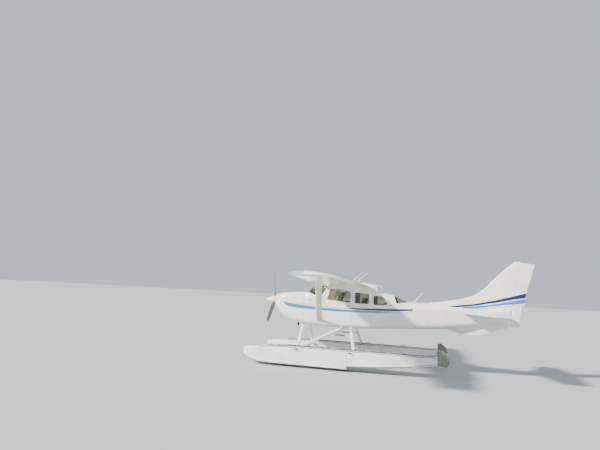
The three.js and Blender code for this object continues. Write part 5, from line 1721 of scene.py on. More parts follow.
@dataclass
class FloatGear:
    """Struts, spreader bars, wires and foot steps between the floats and the fuselage."""

    chord: float = 92
    thickness: float = 42
    bar_reach: float = 845
    bar_height: float = -1445

    struts = {
        "front_strut": ((1475, 420, -690), (1470, 1000, -1380)),
        "rear_strut": ((3050, 470, -700), (3240, 1000, -1380)),
        "diagonal_strut": ((2890, 470, -710), (1560, 1000, -1380)),
    }

    def build(self) -> None:
        """Makes every piece of the float gear."""
        for name, side in SIDES.items():
            for piece, (top, foot) in self.struts.items():
                self.strut(f"{piece}_{name}", top, foot, side)
            self.step(name, side)
        for name, station in (("front", 1560), ("rear", 3180)):
            self.spreader(name, station)
        self.wires()

    def oval(self, name: str, start: Vector, end: Vector, chord: float,
             thick: float) -> Piece:
        """An oval tube with its long axis fore and aft."""
        steep = abs((end - start).normalized().x) > 0.9
        guide = UP if steep else AFT
        return rod(name, start, end, chord * MM, thick * MM, sides=32, guide=guide)

    def strut(self, name: str, top: tuple, foot: tuple, side: int) -> None:
        """One streamlined strut with a cuff and a bolted foot, and a fork at its head."""
        head = at(top[0], side * top[1], top[2])
        base = at(foot[0], side * foot[1], foot[2])
        way = (head - base).normalized()
        length = (head - base).length
        main = self.oval(name + "_tube", head, base, self.chord, self.thickness)
        rings = []
        for low, high, swell in ((0.0, 0.085, 1.16), (0.085, 0.1, 1.08)):
            rings.append(self.oval("cuff", base + way * low, base + way * high,
                                   self.chord * swell, self.thickness * swell * 1.08))
        tube_piece = fuse(name + "_tube", [main, *[bevel(r, 0.002) for r in rings]])
        fit(tube_piece, Finishes.plain_paint, "white_paint", AIRFRAME, name, angle=40)
        clear = length * 0.06
        fork = self.oval("fork", head - way * clear, head + way * 0.004, self.chord * 0.9,
                         self.thickness * 1.3)
        bolts = []
        for share in (0.3, 0.75):
            middle = head - way * (clear * share)
            bolts.append(rod("bolt", middle - Vector((0, 0.036, 0)), middle + Vector((0, 0.036, 0)),
                             0.016, sides=12))
        foot_at = base + way * 0.013
        plate = block("plate", foot_at + Vector((-0.08, -0.048, -0.006)),
                      foot_at + Vector((0.08, 0.048, 0.006)))
        studs = [rod("stud", foot_at + Vector((dx, dy, 0)), foot_at + Vector((dx, dy, 0.016)),
                     0.014, sides=6) for dx in (-0.066, 0.066) for dy in (-0.034, 0.034)]
        fitting = fuse(name + "_fittings", [bevel(fork, 0.003), *bolts, bevel(plate, 0.003),
                                            *studs])
        fit(fitting, Finishes.dark_fitting, "bare_steel", AIRFRAME, angle=40)

    def step(self, name: str, side: int) -> None:
        """The foot step rod between the diagonal and the rear strut, with a grip sleeve."""
        front, back = at(2350, side * 690, -985), at(3130, side * 690, -985)
        main = rod("step", front, back, 0.03, sides=20, guide=UP)
        ends = [rod("socket", p, q, 0.044, sides=20, guide=UP)
                for p, q in ((front, front.lerp(back, 0.05)), (back.lerp(front, 0.05), back))]
        piece = fuse("foot_step_" + name + "_rod", [main, *[bevel(e, 0.002) for e in ends]])
        fit(piece, Finishes.strut_paint, "bare_steel", AIRFRAME, "foot_step_" + name, angle=40)
        grip = rod("foot_step_" + name + "_grip", front.lerp(back, 0.3), front.lerp(back, 0.72),
                   0.036, sides=24, guide=UP)
        fit(bevel(grip, 0.002), Finishes.deck_grip, "", AIRFRAME)

    def spreader(self, name: str, station: float) -> None:
        """A streamlined bar from float to float, with a bolted collar at each end."""
        ends = [at(station, side * self.bar_reach, self.bar_height) for side in (-1, 1)]
        main = self.oval("bar", ends[0], ends[1], 96, 46)
        collars = [self.oval("collar", ends[i], ends[i].lerp(ends[1 - i], 0.045), 118, 66)
                   for i in (0, 1)]
        piece = fuse("spreader_bar_" + name + "_tube", [main, *[bevel(c, 0.003) for c in collars]])
        fit(piece, Finishes.plain_paint, "white_paint", AIRFRAME, "spreader_bar_" + name, angle=40)

    def wires(self) -> None:
        """Crossed bracing wires in the front and rear strut planes."""
        pieces = []
        for top, foot in (self.struts["front_strut"], self.struts["rear_strut"]):
            for i, side in enumerate(SIDES.values()):
                shift = 14 * i - 7
                low = at(foot[0] + 30 + shift, side * 985, -1362)
                high = at(top[0] + 30 + shift, -side * 380, -715)
                way = (high - low).normalized()
                pieces.append(tube("wire", [low, high], 0.0035, 8))
                for end, sense in ((low, 1), (high, -1)):
                    pieces.append(tube("barrel", [end, end + way * 0.075 * sense], 0.008, 12))
        fit(fuse("float_bracing_wires", pieces), Finishes.steel, "bare_steel", AIRFRAME, angle=50)


# Propeller and engine

@dataclass
class Propeller:
    """Three blades in a hub, under a pointed spinner."""

    station: float = 330
    turn: float = 13
    spinner_radius: float = 138
    spinner_length: float = 405

    chord = FairLine([(70, 84), (150, 88), (230, 130), (400, 158), (650, 152), (880, 122),
                      (960, 98), (1000, 66), (1015, 30)])
    thick = FairLine([(70, 84), (150, 70), (230, 38), (400, 26), (650, 17), (880, 12),
                      (985, 9), (1015, 5)])
    pitch = FairLine([(70, 45), (150, 42), (230, 37), (400, 30), (650, 23), (880, 18),
                      (1015, 15)])

    def spin(self, index: int) -> Matrix:
        """The turn from straight up to where a blade stands."""
        return Matrix.Rotation(math.radians(self.turn + 120 * index), 3, "X")

    def blade(self, name: str, index: int, radii: list[float], grow: float = 0.0) -> Piece:
        """One blade, twisted along its length, or a grown copy to cut with."""
        spin = self.spin(index)
        rows = []
        for radius in radii:
            pitch = math.radians(self.pitch(radius))
            ring = []
            for a in around(36):
                along = (self.chord(radius) / 2 + grow) * math.cos(a)
                across = (self.thick(radius) / 2 + grow) * math.sin(a)
                across *= 1 if radius < 200 else 1 - 0.25 * math.cos(a)
                local = Vector((-along * math.sin(pitch) + across * math.cos(pitch),
                                along * math.cos(pitch) + across * math.sin(pitch), radius))
                local = spin @ local
                ring.append(at(self.station + local.x, local.y, local.z))
            rows.append(ring)
        return cap_ends(grid_skin(name, rows))

    def build(self) -> None:
        """Makes the propeller and its spinner."""
        self.blades()
        self.hub()
        self.spinner()

    def blades(self) -> None:
        """The three blades."""
        radii = [*spread(80, 240, 10), *spread(270, 940, 24), 960, 978, 992, 1003, 1010, 1015]
        piece = fuse("propeller_blades", [self.blade("blade", i, radii) for i in range(3)])
        fit(piece, Finishes.blade, "blade_paint", "propeller", "propeller", angle=40)

    def hub(self) -> None:
        """The forged hub with its blade clamps and the shaft."""
        core = rod("core", at(270, 0, 0), at(390, 0, 0), 0.19, sides=48, guide=UP)
        shaft = rod("shaft", at(385, 0, 0), at(645, 0, 0), 0.09, sides=40, guide=UP)
        clamps = []
        for i in range(3):
            low, high = (self.spin(i) @ Vector((0, 0, r)) for r in (60, 128))
            clamps.append(rod("clamp", at(self.station, low.y, low.z),
                              at(self.station, high.y, high.z), 0.104, sides=32))
        piece = fuse("propeller_hub", [bevel(core, 0.006), shaft,
                                       *[bevel(c, 0.004) for c in clamps]])
        fit(piece, Finishes.aluminium, "bare_aluminium", "propeller", angle=40)

    def spinner(self) -> None:
        """The spun cone with its blade slots, backplate lip and screws."""
        rows = []
        for x in [0.6, 2, 5, 10, 18, *spread(30, 379, 30)]:
            share = min(x / (self.spinner_length * 0.92), 1)
            swell = math.sin(share * math.pi / 2) ** 0.82
            rows.append((x, self.spinner_radius * swell))
        rows += [(382, 138), (383, 136.6), (385, 136.6), (386, 138), (405, 138)]
        skin = cap_ends(grid_skin("spinner_cone", [
            [at(x, r * math.cos(a), r * math.sin(a)) for a in around(72)] for x, r in rows]))
        bore = rod("cutter", at(260, 0, 0), at(410, 0, 0), 0.2, sides=48, guide=UP)
        slots = [self.blade("cutter", i, spread(70, 260, 8), 4) for i in range(3)]
        carve(skin, [bore, *slots])
        fit(skin, Finishes.plain_paint, "white_paint", "propeller", "spinner", angle=30)
        screws = []
        for k in range(18):
            a = 2 * math.pi * (k + 0.5) / 18
            out = Vector((0, math.cos(a), math.sin(a)))
            foot = at(394, 0, 0) + out * 0.1375
            screws.append(rod("screw", foot, foot + out * 0.0018, 0.009, sides=10, guide=AFT))
        fit(fuse("spinner_screws", screws), Finishes.steel, "bare_steel", "propeller", angle=40)


@dataclass
class Engine:
    """A flat six behind the inlets, with its baffle, mount and exhaust."""

    exhaust_station: float = 1240
    exhaust_butt: float = -170

    def build(self) -> None:
        """Makes the engine, its baffle, its mount and the exhaust stack."""
        self.crankcase()
        self.cylinders()
        self.baffle()
        self.exhaust()

    def crankcase(self) -> None:
        """Crankcase, sump, accessory drive and the bars of the mount."""
        parts = [
            bevel(block("case", at(700, -115, -120), at(1210, 115, 60)), 0.02, 3),
            bevel(block("sump", at(740, -150, -320), at(1190, 150, -115)), 0.03, 3),
            bevel(block("drive", at(1200, -130, -190), at(1320, 130, 40)), 0.015, 3),
            rod("nose", at(665, 0, 0), at(725, 0, 0), 0.17, sides=40, guide=UP),
        ]
        for side in (PORT, STARBOARD):
            for height in (-290, 50):
                parts.append(rod("bar", at(1230, side * 130, height * 0.6),
                                 at(1465, side * 220, height), 0.03, sides=16, guide=UP))
        piece = fuse("engine_crankcase", parts)
        fit(piece, Finishes.engine, "engine_metal", AIRFRAME, "engine_block", angle=40)

    def cylinders(self) -> None:
        """Six finned barrels with heads, modelled once and copied."""
        base = at(790, 0, -30)
        barrel = [rod("barrel", base + Vector((0, 0.1, 0)), base + Vector((0, 0.37, 0)), 0.115,
                      sides=28)]
        for k in range(11):
            y = 0.13 + 0.014 * k
            wide = 0.15 if k < 6 else 0.17
            barrel.append(rod("fin", base + Vector((0, y, 0)), base + Vector((0, y + 0.003, 0)),
                              wide, sides=28))
        barrel.append(bevel(block("head", base + Vector((-0.085, 0.295, -0.075)),
                                  base + Vector((0.085, 0.34, 0.075))), 0.012, 2))
        barrel.append(bevel(block("cover", base + Vector((-0.06, 0.34, -0.045)),
                                  base + Vector((0.06, 0.38, 0.045))), 0.014, 3))
        one = fuse("cylinder", barrel)
        copies = [one]
        for side in (STARBOARD, PORT):
            for k in range(3):
                if side == STARBOARD and k == 0:
                    continue
                copy = duplicate(one, "cylinder")
                turn = Matrix.Rotation(0 if side == STARBOARD else math.pi, 4, "Z")
                shift = Matrix.Translation((0.185 * k + (0.02 if side == PORT else 0), 0, 0))
                centre = Matrix.Translation(base)
                copy.data.transform(shift @ centre @ turn @ centre.inverted())
                copies.append(copy)
        fit(fuse("engine_cylinders", copies), Finishes.engine, "engine_metal", AIRFRAME, angle=40)

    def baffle(self) -> None:
        """The sheet wall behind the inlets, with a rubber flap along its top."""
        wall = bevel(block("engine_baffle", at(682, -360, -150), at(686, 360, 165)), 0.001, 1)
        shaft = rod("cutter", at(640, 0, 0), at(740, 0, 0), 0.2, sides=40, guide=UP)
        holes = [rod("cutter", at(640, side * 235, 30), at(740, side * 235, 30), 0.16, sides=36,
                     guide=UP) for side in (PORT, STARBOARD)]
        carve(wall, [shaft, *holes])
        fit(wall, Finishes.engine, "engine_metal", AIRFRAME, angle=40)
        flap = tube("engine_baffle_seal", [at(684, y, 168 - abs(y) * 0.05)
                                           for y in spread(-340, 340, 18)], 0.007, 10)
        fit(flap, Finishes.rubber, "dark_trim", AIRFRAME, angle=60)

    def exhaust(self) -> None:
        """The open exhaust stack with its clamp."""
        x, y = self.exhaust_station, self.exhaust_butt
        stack = rod("exhaust_stack", at(x, y, -320), at(x, y, -800), 0.076, sides=36)
        bore = rod("cutter", at(x, y, -450), at(x, y, -820), 0.064, sides=36)
        carve(stack, [bore])
        clamp = bevel(rod("clamp", at(x, y, -440), at(x, y, -462), 0.088, sides=36), 0.003)
        piece = fuse("exhaust_stack", [stack, clamp])
        fit(piece, Finishes.exhaust, "bare_steel", AIRFRAME, angle=40)


# Cabin

BENCH_HALF = 400


@dataclass(frozen=True)
class SeatPlan:
    """One seat's place: its front, its recline corner, its top, and how wide it is."""

    name: str
    front: float
    hinge: Point2
    top: Point2
    butt: float
    half: float

    @property
    def bench(self) -> bool:
        """Whether two people sit on it."""
        return self.half > BENCH_HALF


FRONT_ROW_END = 2500
SEATS = (
    SeatPlan("seat_front_port", 1960, (2330, -230), (2635, 400), -270, 220),
    SeatPlan("seat_front_starboard", 1960, (2330, -230), (2635, 400), 270, 220),
    SeatPlan("seat_middle_port", 2850, (3240, -230), (3400, 250), -270, 220),
    SeatPlan("seat_middle_starboard", 2850, (3240, -230), (3400, 250), 270, 220),
    SeatPlan("seat_rear", 3640, (4000, -230), (4120, 200), 0, 455),
)
FLOOR_TOP = -665
CUSHION_LOW = -340


CLOTH_FRAMES = 20
CHANNEL_WIDTH = 0.009


def inflate(piece: Piece, cap: float, pressure: float = 4.0) -> None:
    """Blows a closed pad up as cloth for some frames and keeps the result.

    Args:
        piece: the pad, already remeshed.
        cap: the furthest that a point may move, in metres.
        pressure: the air pressure inside.
    """
    before = [vertex.co.copy() for vertex in piece.data.vertices]
    cloth = piece.modifiers.new("Cloth", "CLOTH")
    cloth.settings.use_pressure = True
    cloth.settings.uniform_pressure_force = pressure
    cloth.settings.effector_weights.gravity = 0
    cloth.settings.quality = 3
    cloth.collision_settings.use_collision = False
    cloth.point_cache.frame_start, cloth.point_cache.frame_end = 1, CLOTH_FRAMES
    for step in range(1, CLOTH_FRAMES + 1):
        bpy.context.scene.frame_set(step)
    pick(piece)
    bpy.ops.object.modifier_apply(modifier=cloth.name)
    for vertex, start in zip(piece.data.vertices, before):
        shift = vertex.co - start
        if shift.length > cap:
            vertex.co = start + shift * (cap / shift.length)
    bpy.context.scene.frame_set(1)


def sew(piece: Piece, seams: tuple, axis: int, depth: float = 0.006) -> None:
    """Presses sewn channels into a pad at places along one axis, in metres."""
    for vertex in piece.data.vertices:
        press = sum(math.exp(-((vertex.co[axis] - seam) / CHANNEL_WIDTH) ** 2) for seam in seams)
        vertex.co -= vertex.normal * (press * depth)


def pad(name: str, outline: list[tuple], butt: float, half: float, seams: tuple,
        voxel: float = 0.016) -> Piece:
    """A stuffed pad: an outline run across the seat, blown up and sewn lengthwise.

    Args:
        name: the piece's name.
        outline: side-view corners (station, height, corner radius).
        butt: the middle's butt line.
        half: half the width.
        seams: butt lines of the sewn channels, as shares of the half width.
        voxel: the net's size, in metres.
    """
    piece = bevel(side_prism(name, outline, butt - half, butt + half), 0.026, 3)
    modify(piece, "REMESH", mode="VOXEL", voxel_size=voxel)
    inflate(piece, 0.02)
    modify(piece, "SUBSURF", levels=1, render_levels=1)
    sew(piece, tuple((butt + share * half) * MM for share in seams), 1)
    return smooth(piece, 80)


def strap(name: str, path: list[Vector], across: Vector, width: float,
          thick: float = 0.0024) -> Piece:
    """A flat strap along points, its width lying along one direction."""
    rows = []
    for i, here in enumerate(path):
        ahead = path[min(i + 1, len(path) - 1)] - path[max(i - 1, 0)]
        rise = ahead.cross(across).normalized() * (thick / 2)
        side = across.normalized() * (width / 2)
        rows.append([here + side + rise, here - side + rise, here - side - rise,
                     here + side - rise])
    return cap_ends(grid_skin(name, rows))


@dataclass
class Cabin:
    """Seats, floor, belts, instrument panel, controls and bulkhead."""

    form: FuselageForm
    face_low: Point2 = (1850, -200)
    face_high: Point2 = (1890, 205)

    def build(self) -> None:
        """Makes every piece inside the cabin."""
        self.floor()
        for i, plan in enumerate(SEATS):
            if plan.butt > 0:
                self.twin(SEATS[i - 1], plan)
            else:
                self.seat(plan)
            self.belt(plan)
        self.panel()
        self.dials()
        self.switches()
        self.controls()
        self.pedals()

    def seat(self, plan: SeatPlan) -> None:
        """A cushion and a leaning back, stuffed and sewn, as one padded piece."""
        hinge_x, hinge_z = plan.hinge
        top_x, top_z = plan.top
        half = plan.half - 14
        cushion = pad(plan.name + "_cushion", [
            (plan.front + 14, CUSHION_LOW + 8, 26), (hinge_x + 40, CUSHION_LOW + 8, 20),
            (hinge_x + 24, hinge_z - 26, 20), (plan.front + 14, hinge_z - 12, 40)],
            plan.butt, half, (-0.5, 0.0, 0.5) if plan.bench else (-0.33, 0.33))
        lean = (top_x - hinge_x) / (top_z - hinge_z)
        back = pad(plan.name + "_back", [
            (hinge_x + 16 - 60 * lean, hinge_z - 60, 20),
            (hinge_x + 92 - 60 * lean, hinge_z - 78, 24), (top_x + 90, top_z - 16, 40),
            (top_x + 16, top_z - 16, 34)], plan.butt, half * 0.97,
            (-0.5, 0.0, 0.5) if plan.bench else (-0.36, 0.36))
        piece = fuse(plan.name + "_padding", [cushion, back])
        cover = Finishes.front_cover if plan.front < FRONT_ROW_END else Finishes.cover
        dress(piece, cover)
        place(piece, AIRFRAME, plan.name)
        self.base(plan)

    def twin(self, model: SeatPlan, plan: SeatPlan) -> None:
        """The other seat of a pair, copied across the cabin."""
        copy = duplicate(bpy.data.objects[model.name + "_padding"], plan.name + "_padding")
        copy.data.transform(Matrix.Translation((0, (plan.butt - model.butt) * MM, 0)))
        place(copy, AIRFRAME, plan.name)
        self.base(plan)

    def base(self, plan: SeatPlan) -> None:
        """The seat's pan and skirt, on two floor rails."""
        low, high = plan.butt - plan.half + 60, plan.butt + plan.half - 60
        hinge_x = plan.hinge[0]
        skirt = bevel(block("skirt", at(plan.front + 62, low, FLOOR_TOP + 22),
                            at(hinge_x - 62, high, CUSHION_LOW - 8)), 0.012, 3)
        window = block("cutter", at(plan.front + 112, low - 20, FLOOR_TOP + 70),
                       at(hinge_x - 112, high + 20, CUSHION_LOW - 60))
        carve(skirt, [window])
        pan = bevel(block("pan", at(plan.front + 34, plan.butt - plan.half + 26, CUSHION_LOW - 9),
                          at(hinge_x + 56, plan.butt + plan.half - 26, CUSHION_LOW - 1)),
                    0.003, 2)
        piece = fuse(plan.name + "_base", [skirt, pan])
        fit(piece, Finishes.trim, "dark_trim", AIRFRAME, angle=40)
        rails = [bevel(block("rail", at(plan.front - 20, y - 14, FLOOR_TOP + 0.5),
                             at(hinge_x + 90, y + 14, FLOOR_TOP + 21)), 0.004, 2)
                 for y in (low + 22, high - 22)]
        rail = fuse(plan.name + "_rails", rails)
        fit(rail, Finishes.aluminium, "bare_aluminium", AIRFRAME, angle=40)

    def belt(self, plan: SeatPlan) -> None:
        """A lap belt over the cushion, with its buckle."""
        hinge_x, hinge_z = plan.hinge
        middles, half = ((-228, 228), 190) if plan.bench else ((plan.butt,), 205)
        for k, middle in enumerate(middles):
            path = []
            for share in spread(-1, 1, 23):
                fall = abs(share) ** 9
                path.append(at(hinge_x - 48 - 30 * (1 - abs(share)), middle + share * half,
                               hinge_z + 15 - 62 * fall))
            piece = strap(f"{plan.name}_belt_{k}", path, Vector((1, 0, 0.1)), 0.046)
            fit(piece, Finishes.webbing, "", AIRFRAME, angle=40)
            x, z = hinge_x - 78, hinge_z + 17
            buckle = block("buckle", at(x - 30, middle - 26, z), at(x + 30, middle + 26, z + 13))
            latch = block("latch", at(x - 22, middle - 14, z + 11), at(x + 22, middle + 18, z + 18))
            clasp = bevel(fuse(f"{plan.name}_buckle_{k}", [buckle, latch]), 0.004, 3)
            fit(clasp, Finishes.aluminium, "bare_aluminium", AIRFRAME)

    def floor(self) -> None:
        """The carpeted floor and the bulkhead behind the baggage space."""
        floor = self.form.tube("cabin_floor_carpet", 1500, 4240, 40, WALL + TOUCH)
        carve(floor, [block("cutter", at(1495, -REACH, -900), at(4245, REACH, FLOOR_TOP))],
              "INTERSECT")
        fit(floor, Finishes.carpet, "carpet", AIRFRAME, "cabin_floor", angle=32)
        board = self.form.tube("rear_bulkhead_board", 4690, 4700, 5, WALL + TOUCH)
        fit(bevel(board, 0.0015, 2), Finishes.lining, "carpet", AIRFRAME, "rear_bulkhead")

    def on_face(self, butt: float, height: float, proud: float = 0.0) -> Vector:
        """A point on the instrument panel's face, or proud of it by some millimetres."""
        share = (height - self.face_low[1]) / (self.face_high[1] - self.face_low[1])
        station = self.face_low[0] + share * (self.face_high[0] - self.face_low[0])
        return at(station, butt, height) + self.face_way() * proud * MM

    def face_way(self) -> Vector:
        """The direction that the panel's face looks, towards the seats."""
        run = Vector((self.face_high[0] - self.face_low[0], 0,
                      self.face_high[1] - self.face_low[1]))
        return Vector((run.z, 0, -run.x)).normalized()

    def panel(self) -> None:
        """The panel and its glare shield, with a padded edge."""
        outline = [(1800, -200, 6), (1850, -200, 10), (1890, 205, 12), (1545, 300, 0),
                   (1545, 282, 0), (1800, 200, 4)]
        shell = side_prism("instrument_panel_shell", outline, -REACH, REACH)
        carve(shell, [self.form.tube("cutter", 1480, 2100, 30, WALL + TOUCH)], "INTERSECT")
        fit(shell, Finishes.trim, "dark_trim", AIRFRAME, "instrument_panel", angle=35)
        low, high = self.on_face(0, -178, 0.2), self.on_face(0, 178, 0.2)
        outline = [low + Vector((0, y * MM, 0)) for y in (-440, 440)] + [
            high + Vector((0, y * MM, 0)) for y in (440, -440)]
        plate = bevel(slab("instrument_panel_face", outline, self.face_way() * 0.0024), 0.001, 2)
        fit(plate, Finishes.panel_grey, "", AIRFRAME)
        lip = tube("glare_shield_edge", [at(1893, y, 207) for y in spread(-470, 470, 12)], 0.009,
                   12)
        fit(lip, Finishes.trim, "", AIRFRAME, angle=60)

    def dials(self) -> None:
        """Round instruments with their rims, marks and needles."""
        flight = [(y, z, 39) for z in (96, 4) for y in (-398, -304, -210)]
        small = [(y, z, 26) for z in (120, 56, -8) for y in (210, 276, 342, 408)]
        rims, faces, marks = [], [], []
        way = self.face_way()
        up = ACROSS.cross(way) * -1
        for y, z, radius in flight + small:
            base = self.on_face(y, z, 2)
            rims.append(bevel(rod("rim", base, base + way * 0.006, (2 * radius + 9) * MM,
                                  sides=36), 0.0015, 2))
            faces.append(rod("face", base, base + way * 0.0066, 2 * radius * MM, sides=36))
            for k in range(12):
                turn = Matrix.Rotation(2 * math.pi * k / 12, 3, way)
                out = turn @ up
                start = base + way * 0.0068 + out * radius * 0.78 * MM
                marks.append(rod("mark", start, start + out * radius * 0.14 * MM, 0.0018, 0.0006,
                                 sides=4, guide=way.cross(out)))
            out = Matrix.Rotation(0.9 + 0.7 * (y + z) / 90, 3, way) @ up
            start = base + way * 0.0072
            marks.append(rod("needle", start - out * 0.006, start + out * radius * 0.7 * MM,
                             0.0026, 0.0008, sides=4, guide=way.cross(out)))
        for name, parts, finish in (("dial_rims", rims, Finishes.trim),
                                    ("dial_faces", faces, Finishes.dial),
                                    ("dial_marks", marks, Finishes.white_mark)):
            fit(fuse(name, parts), finish, "", AIRFRAME, angle=40)

    def switches(self) -> None:
        """A stack of plain radio boxes with knobs and keys, and a row of rocker switches."""
        boxes, keys = [], []
        way = self.face_way()
        for z in (130, 78, 26, -26, -78):
            low, high = self.on_face(-92, z - 22, 1), self.on_face(92, z + 22, 8)
            boxes.append(bevel(block("box", low, high), 0.002, 2))
            for y in (-76, 76):
                hub = self.on_face(y, z, 6)
                keys.append(bevel(rod("knob", hub, hub + way * 0.016, 0.019, sides=20), 0.002, 2))
            for i in range(5):
                low = self.on_face(-44 + 20 * i, z - 14, 6)
                keys.append(block("key", low, low + Vector((0.004, 0.013, 0.007))))
        for i in range(12):
            base = self.on_face(-420 + 24 * i, -120, 2)
            keys.append(block("rocker", base, base + Vector((0.006, 0.013, 0.022))))
        for name, parts, finish in (("radio_stack", boxes, Finishes.dial),
                                    ("panel_switches", keys, Finishes.lining)):
            fit(fuse(name, parts), finish, "", AIRFRAME, angle=40)

    def controls(self) -> None:
        """Two yokes on their columns, and the engine's push rods with round knobs."""
        columns, wheels = [], []
        for y in (-270, 270):
            start, end = self.on_face(y, -60, 1), at(2035, y, -44)
            columns.append(rod("column", start, end, 0.024, sides=20, guide=UP))
            path = [(-120, 92), (-132, 58), (-128, 14), (-104, -20), (-60, -36), (0, -40),
                    (60, -36), (104, -20), (128, 14), (132, 58), (120, 92)]
            wheels.append(tube("wheel", [end + Vector((0.008, dy * MM, dz * MM + 0.02))
                                         for dy, dz in path], 0.013, 12))
            wheels.append(bevel(block("hub", end + Vector((-0.012, -0.045, -0.034)),
                                      end + Vector((0.022, 0.045, 0.014))), 0.01, 3))
        knobs = []
        for k, (y, reach) in enumerate(((-30, 66), (0, 52), (32, 60))):
            start = self.on_face(y, -150, 1)
            end = start + self.face_way() * reach * MM
            columns.append(rod("push rod", start, end, 0.009, sides=12, guide=UP))
            knob = bevel(rod(f"engine_knob_{k}", end, end + self.face_way() * 0.022, 0.031,
                             sides=24, guide=UP), 0.006, 3)
            knobs.append(knob)
        column = fuse("yoke_columns", columns)
        fit(column, Finishes.aluminium, "bare_aluminium", AIRFRAME, angle=40)
        fit(fuse("yokes", wheels), Finishes.trim, "", AIRFRAME, angle=50)
        for knob, finish in zip(knobs, (Finishes.trim, Finishes.tip_blue, Finishes.red_paint)):
            fit(knob, finish, "", AIRFRAME)

    def pedals(self) -> None:
        """Four rudder pedals on their arms."""
        pieces = []
        for y in (-355, -190, 190, 355):
            pieces.append(bevel(block("pedal", at(1640, y - 42, -560), at(1654, y + 42, -450)),
                                0.004, 2))
            pieces.append(tube("arm", [at(1640, y, -500), at(1600, y, -520), at(1570, y, -650)],
                               0.009, 12))
        piece = fuse("rudder_pedals", pieces)
        fit(piece, Finishes.aluminium, "bare_aluminium", AIRFRAME, angle=40)


# Small outside fittings

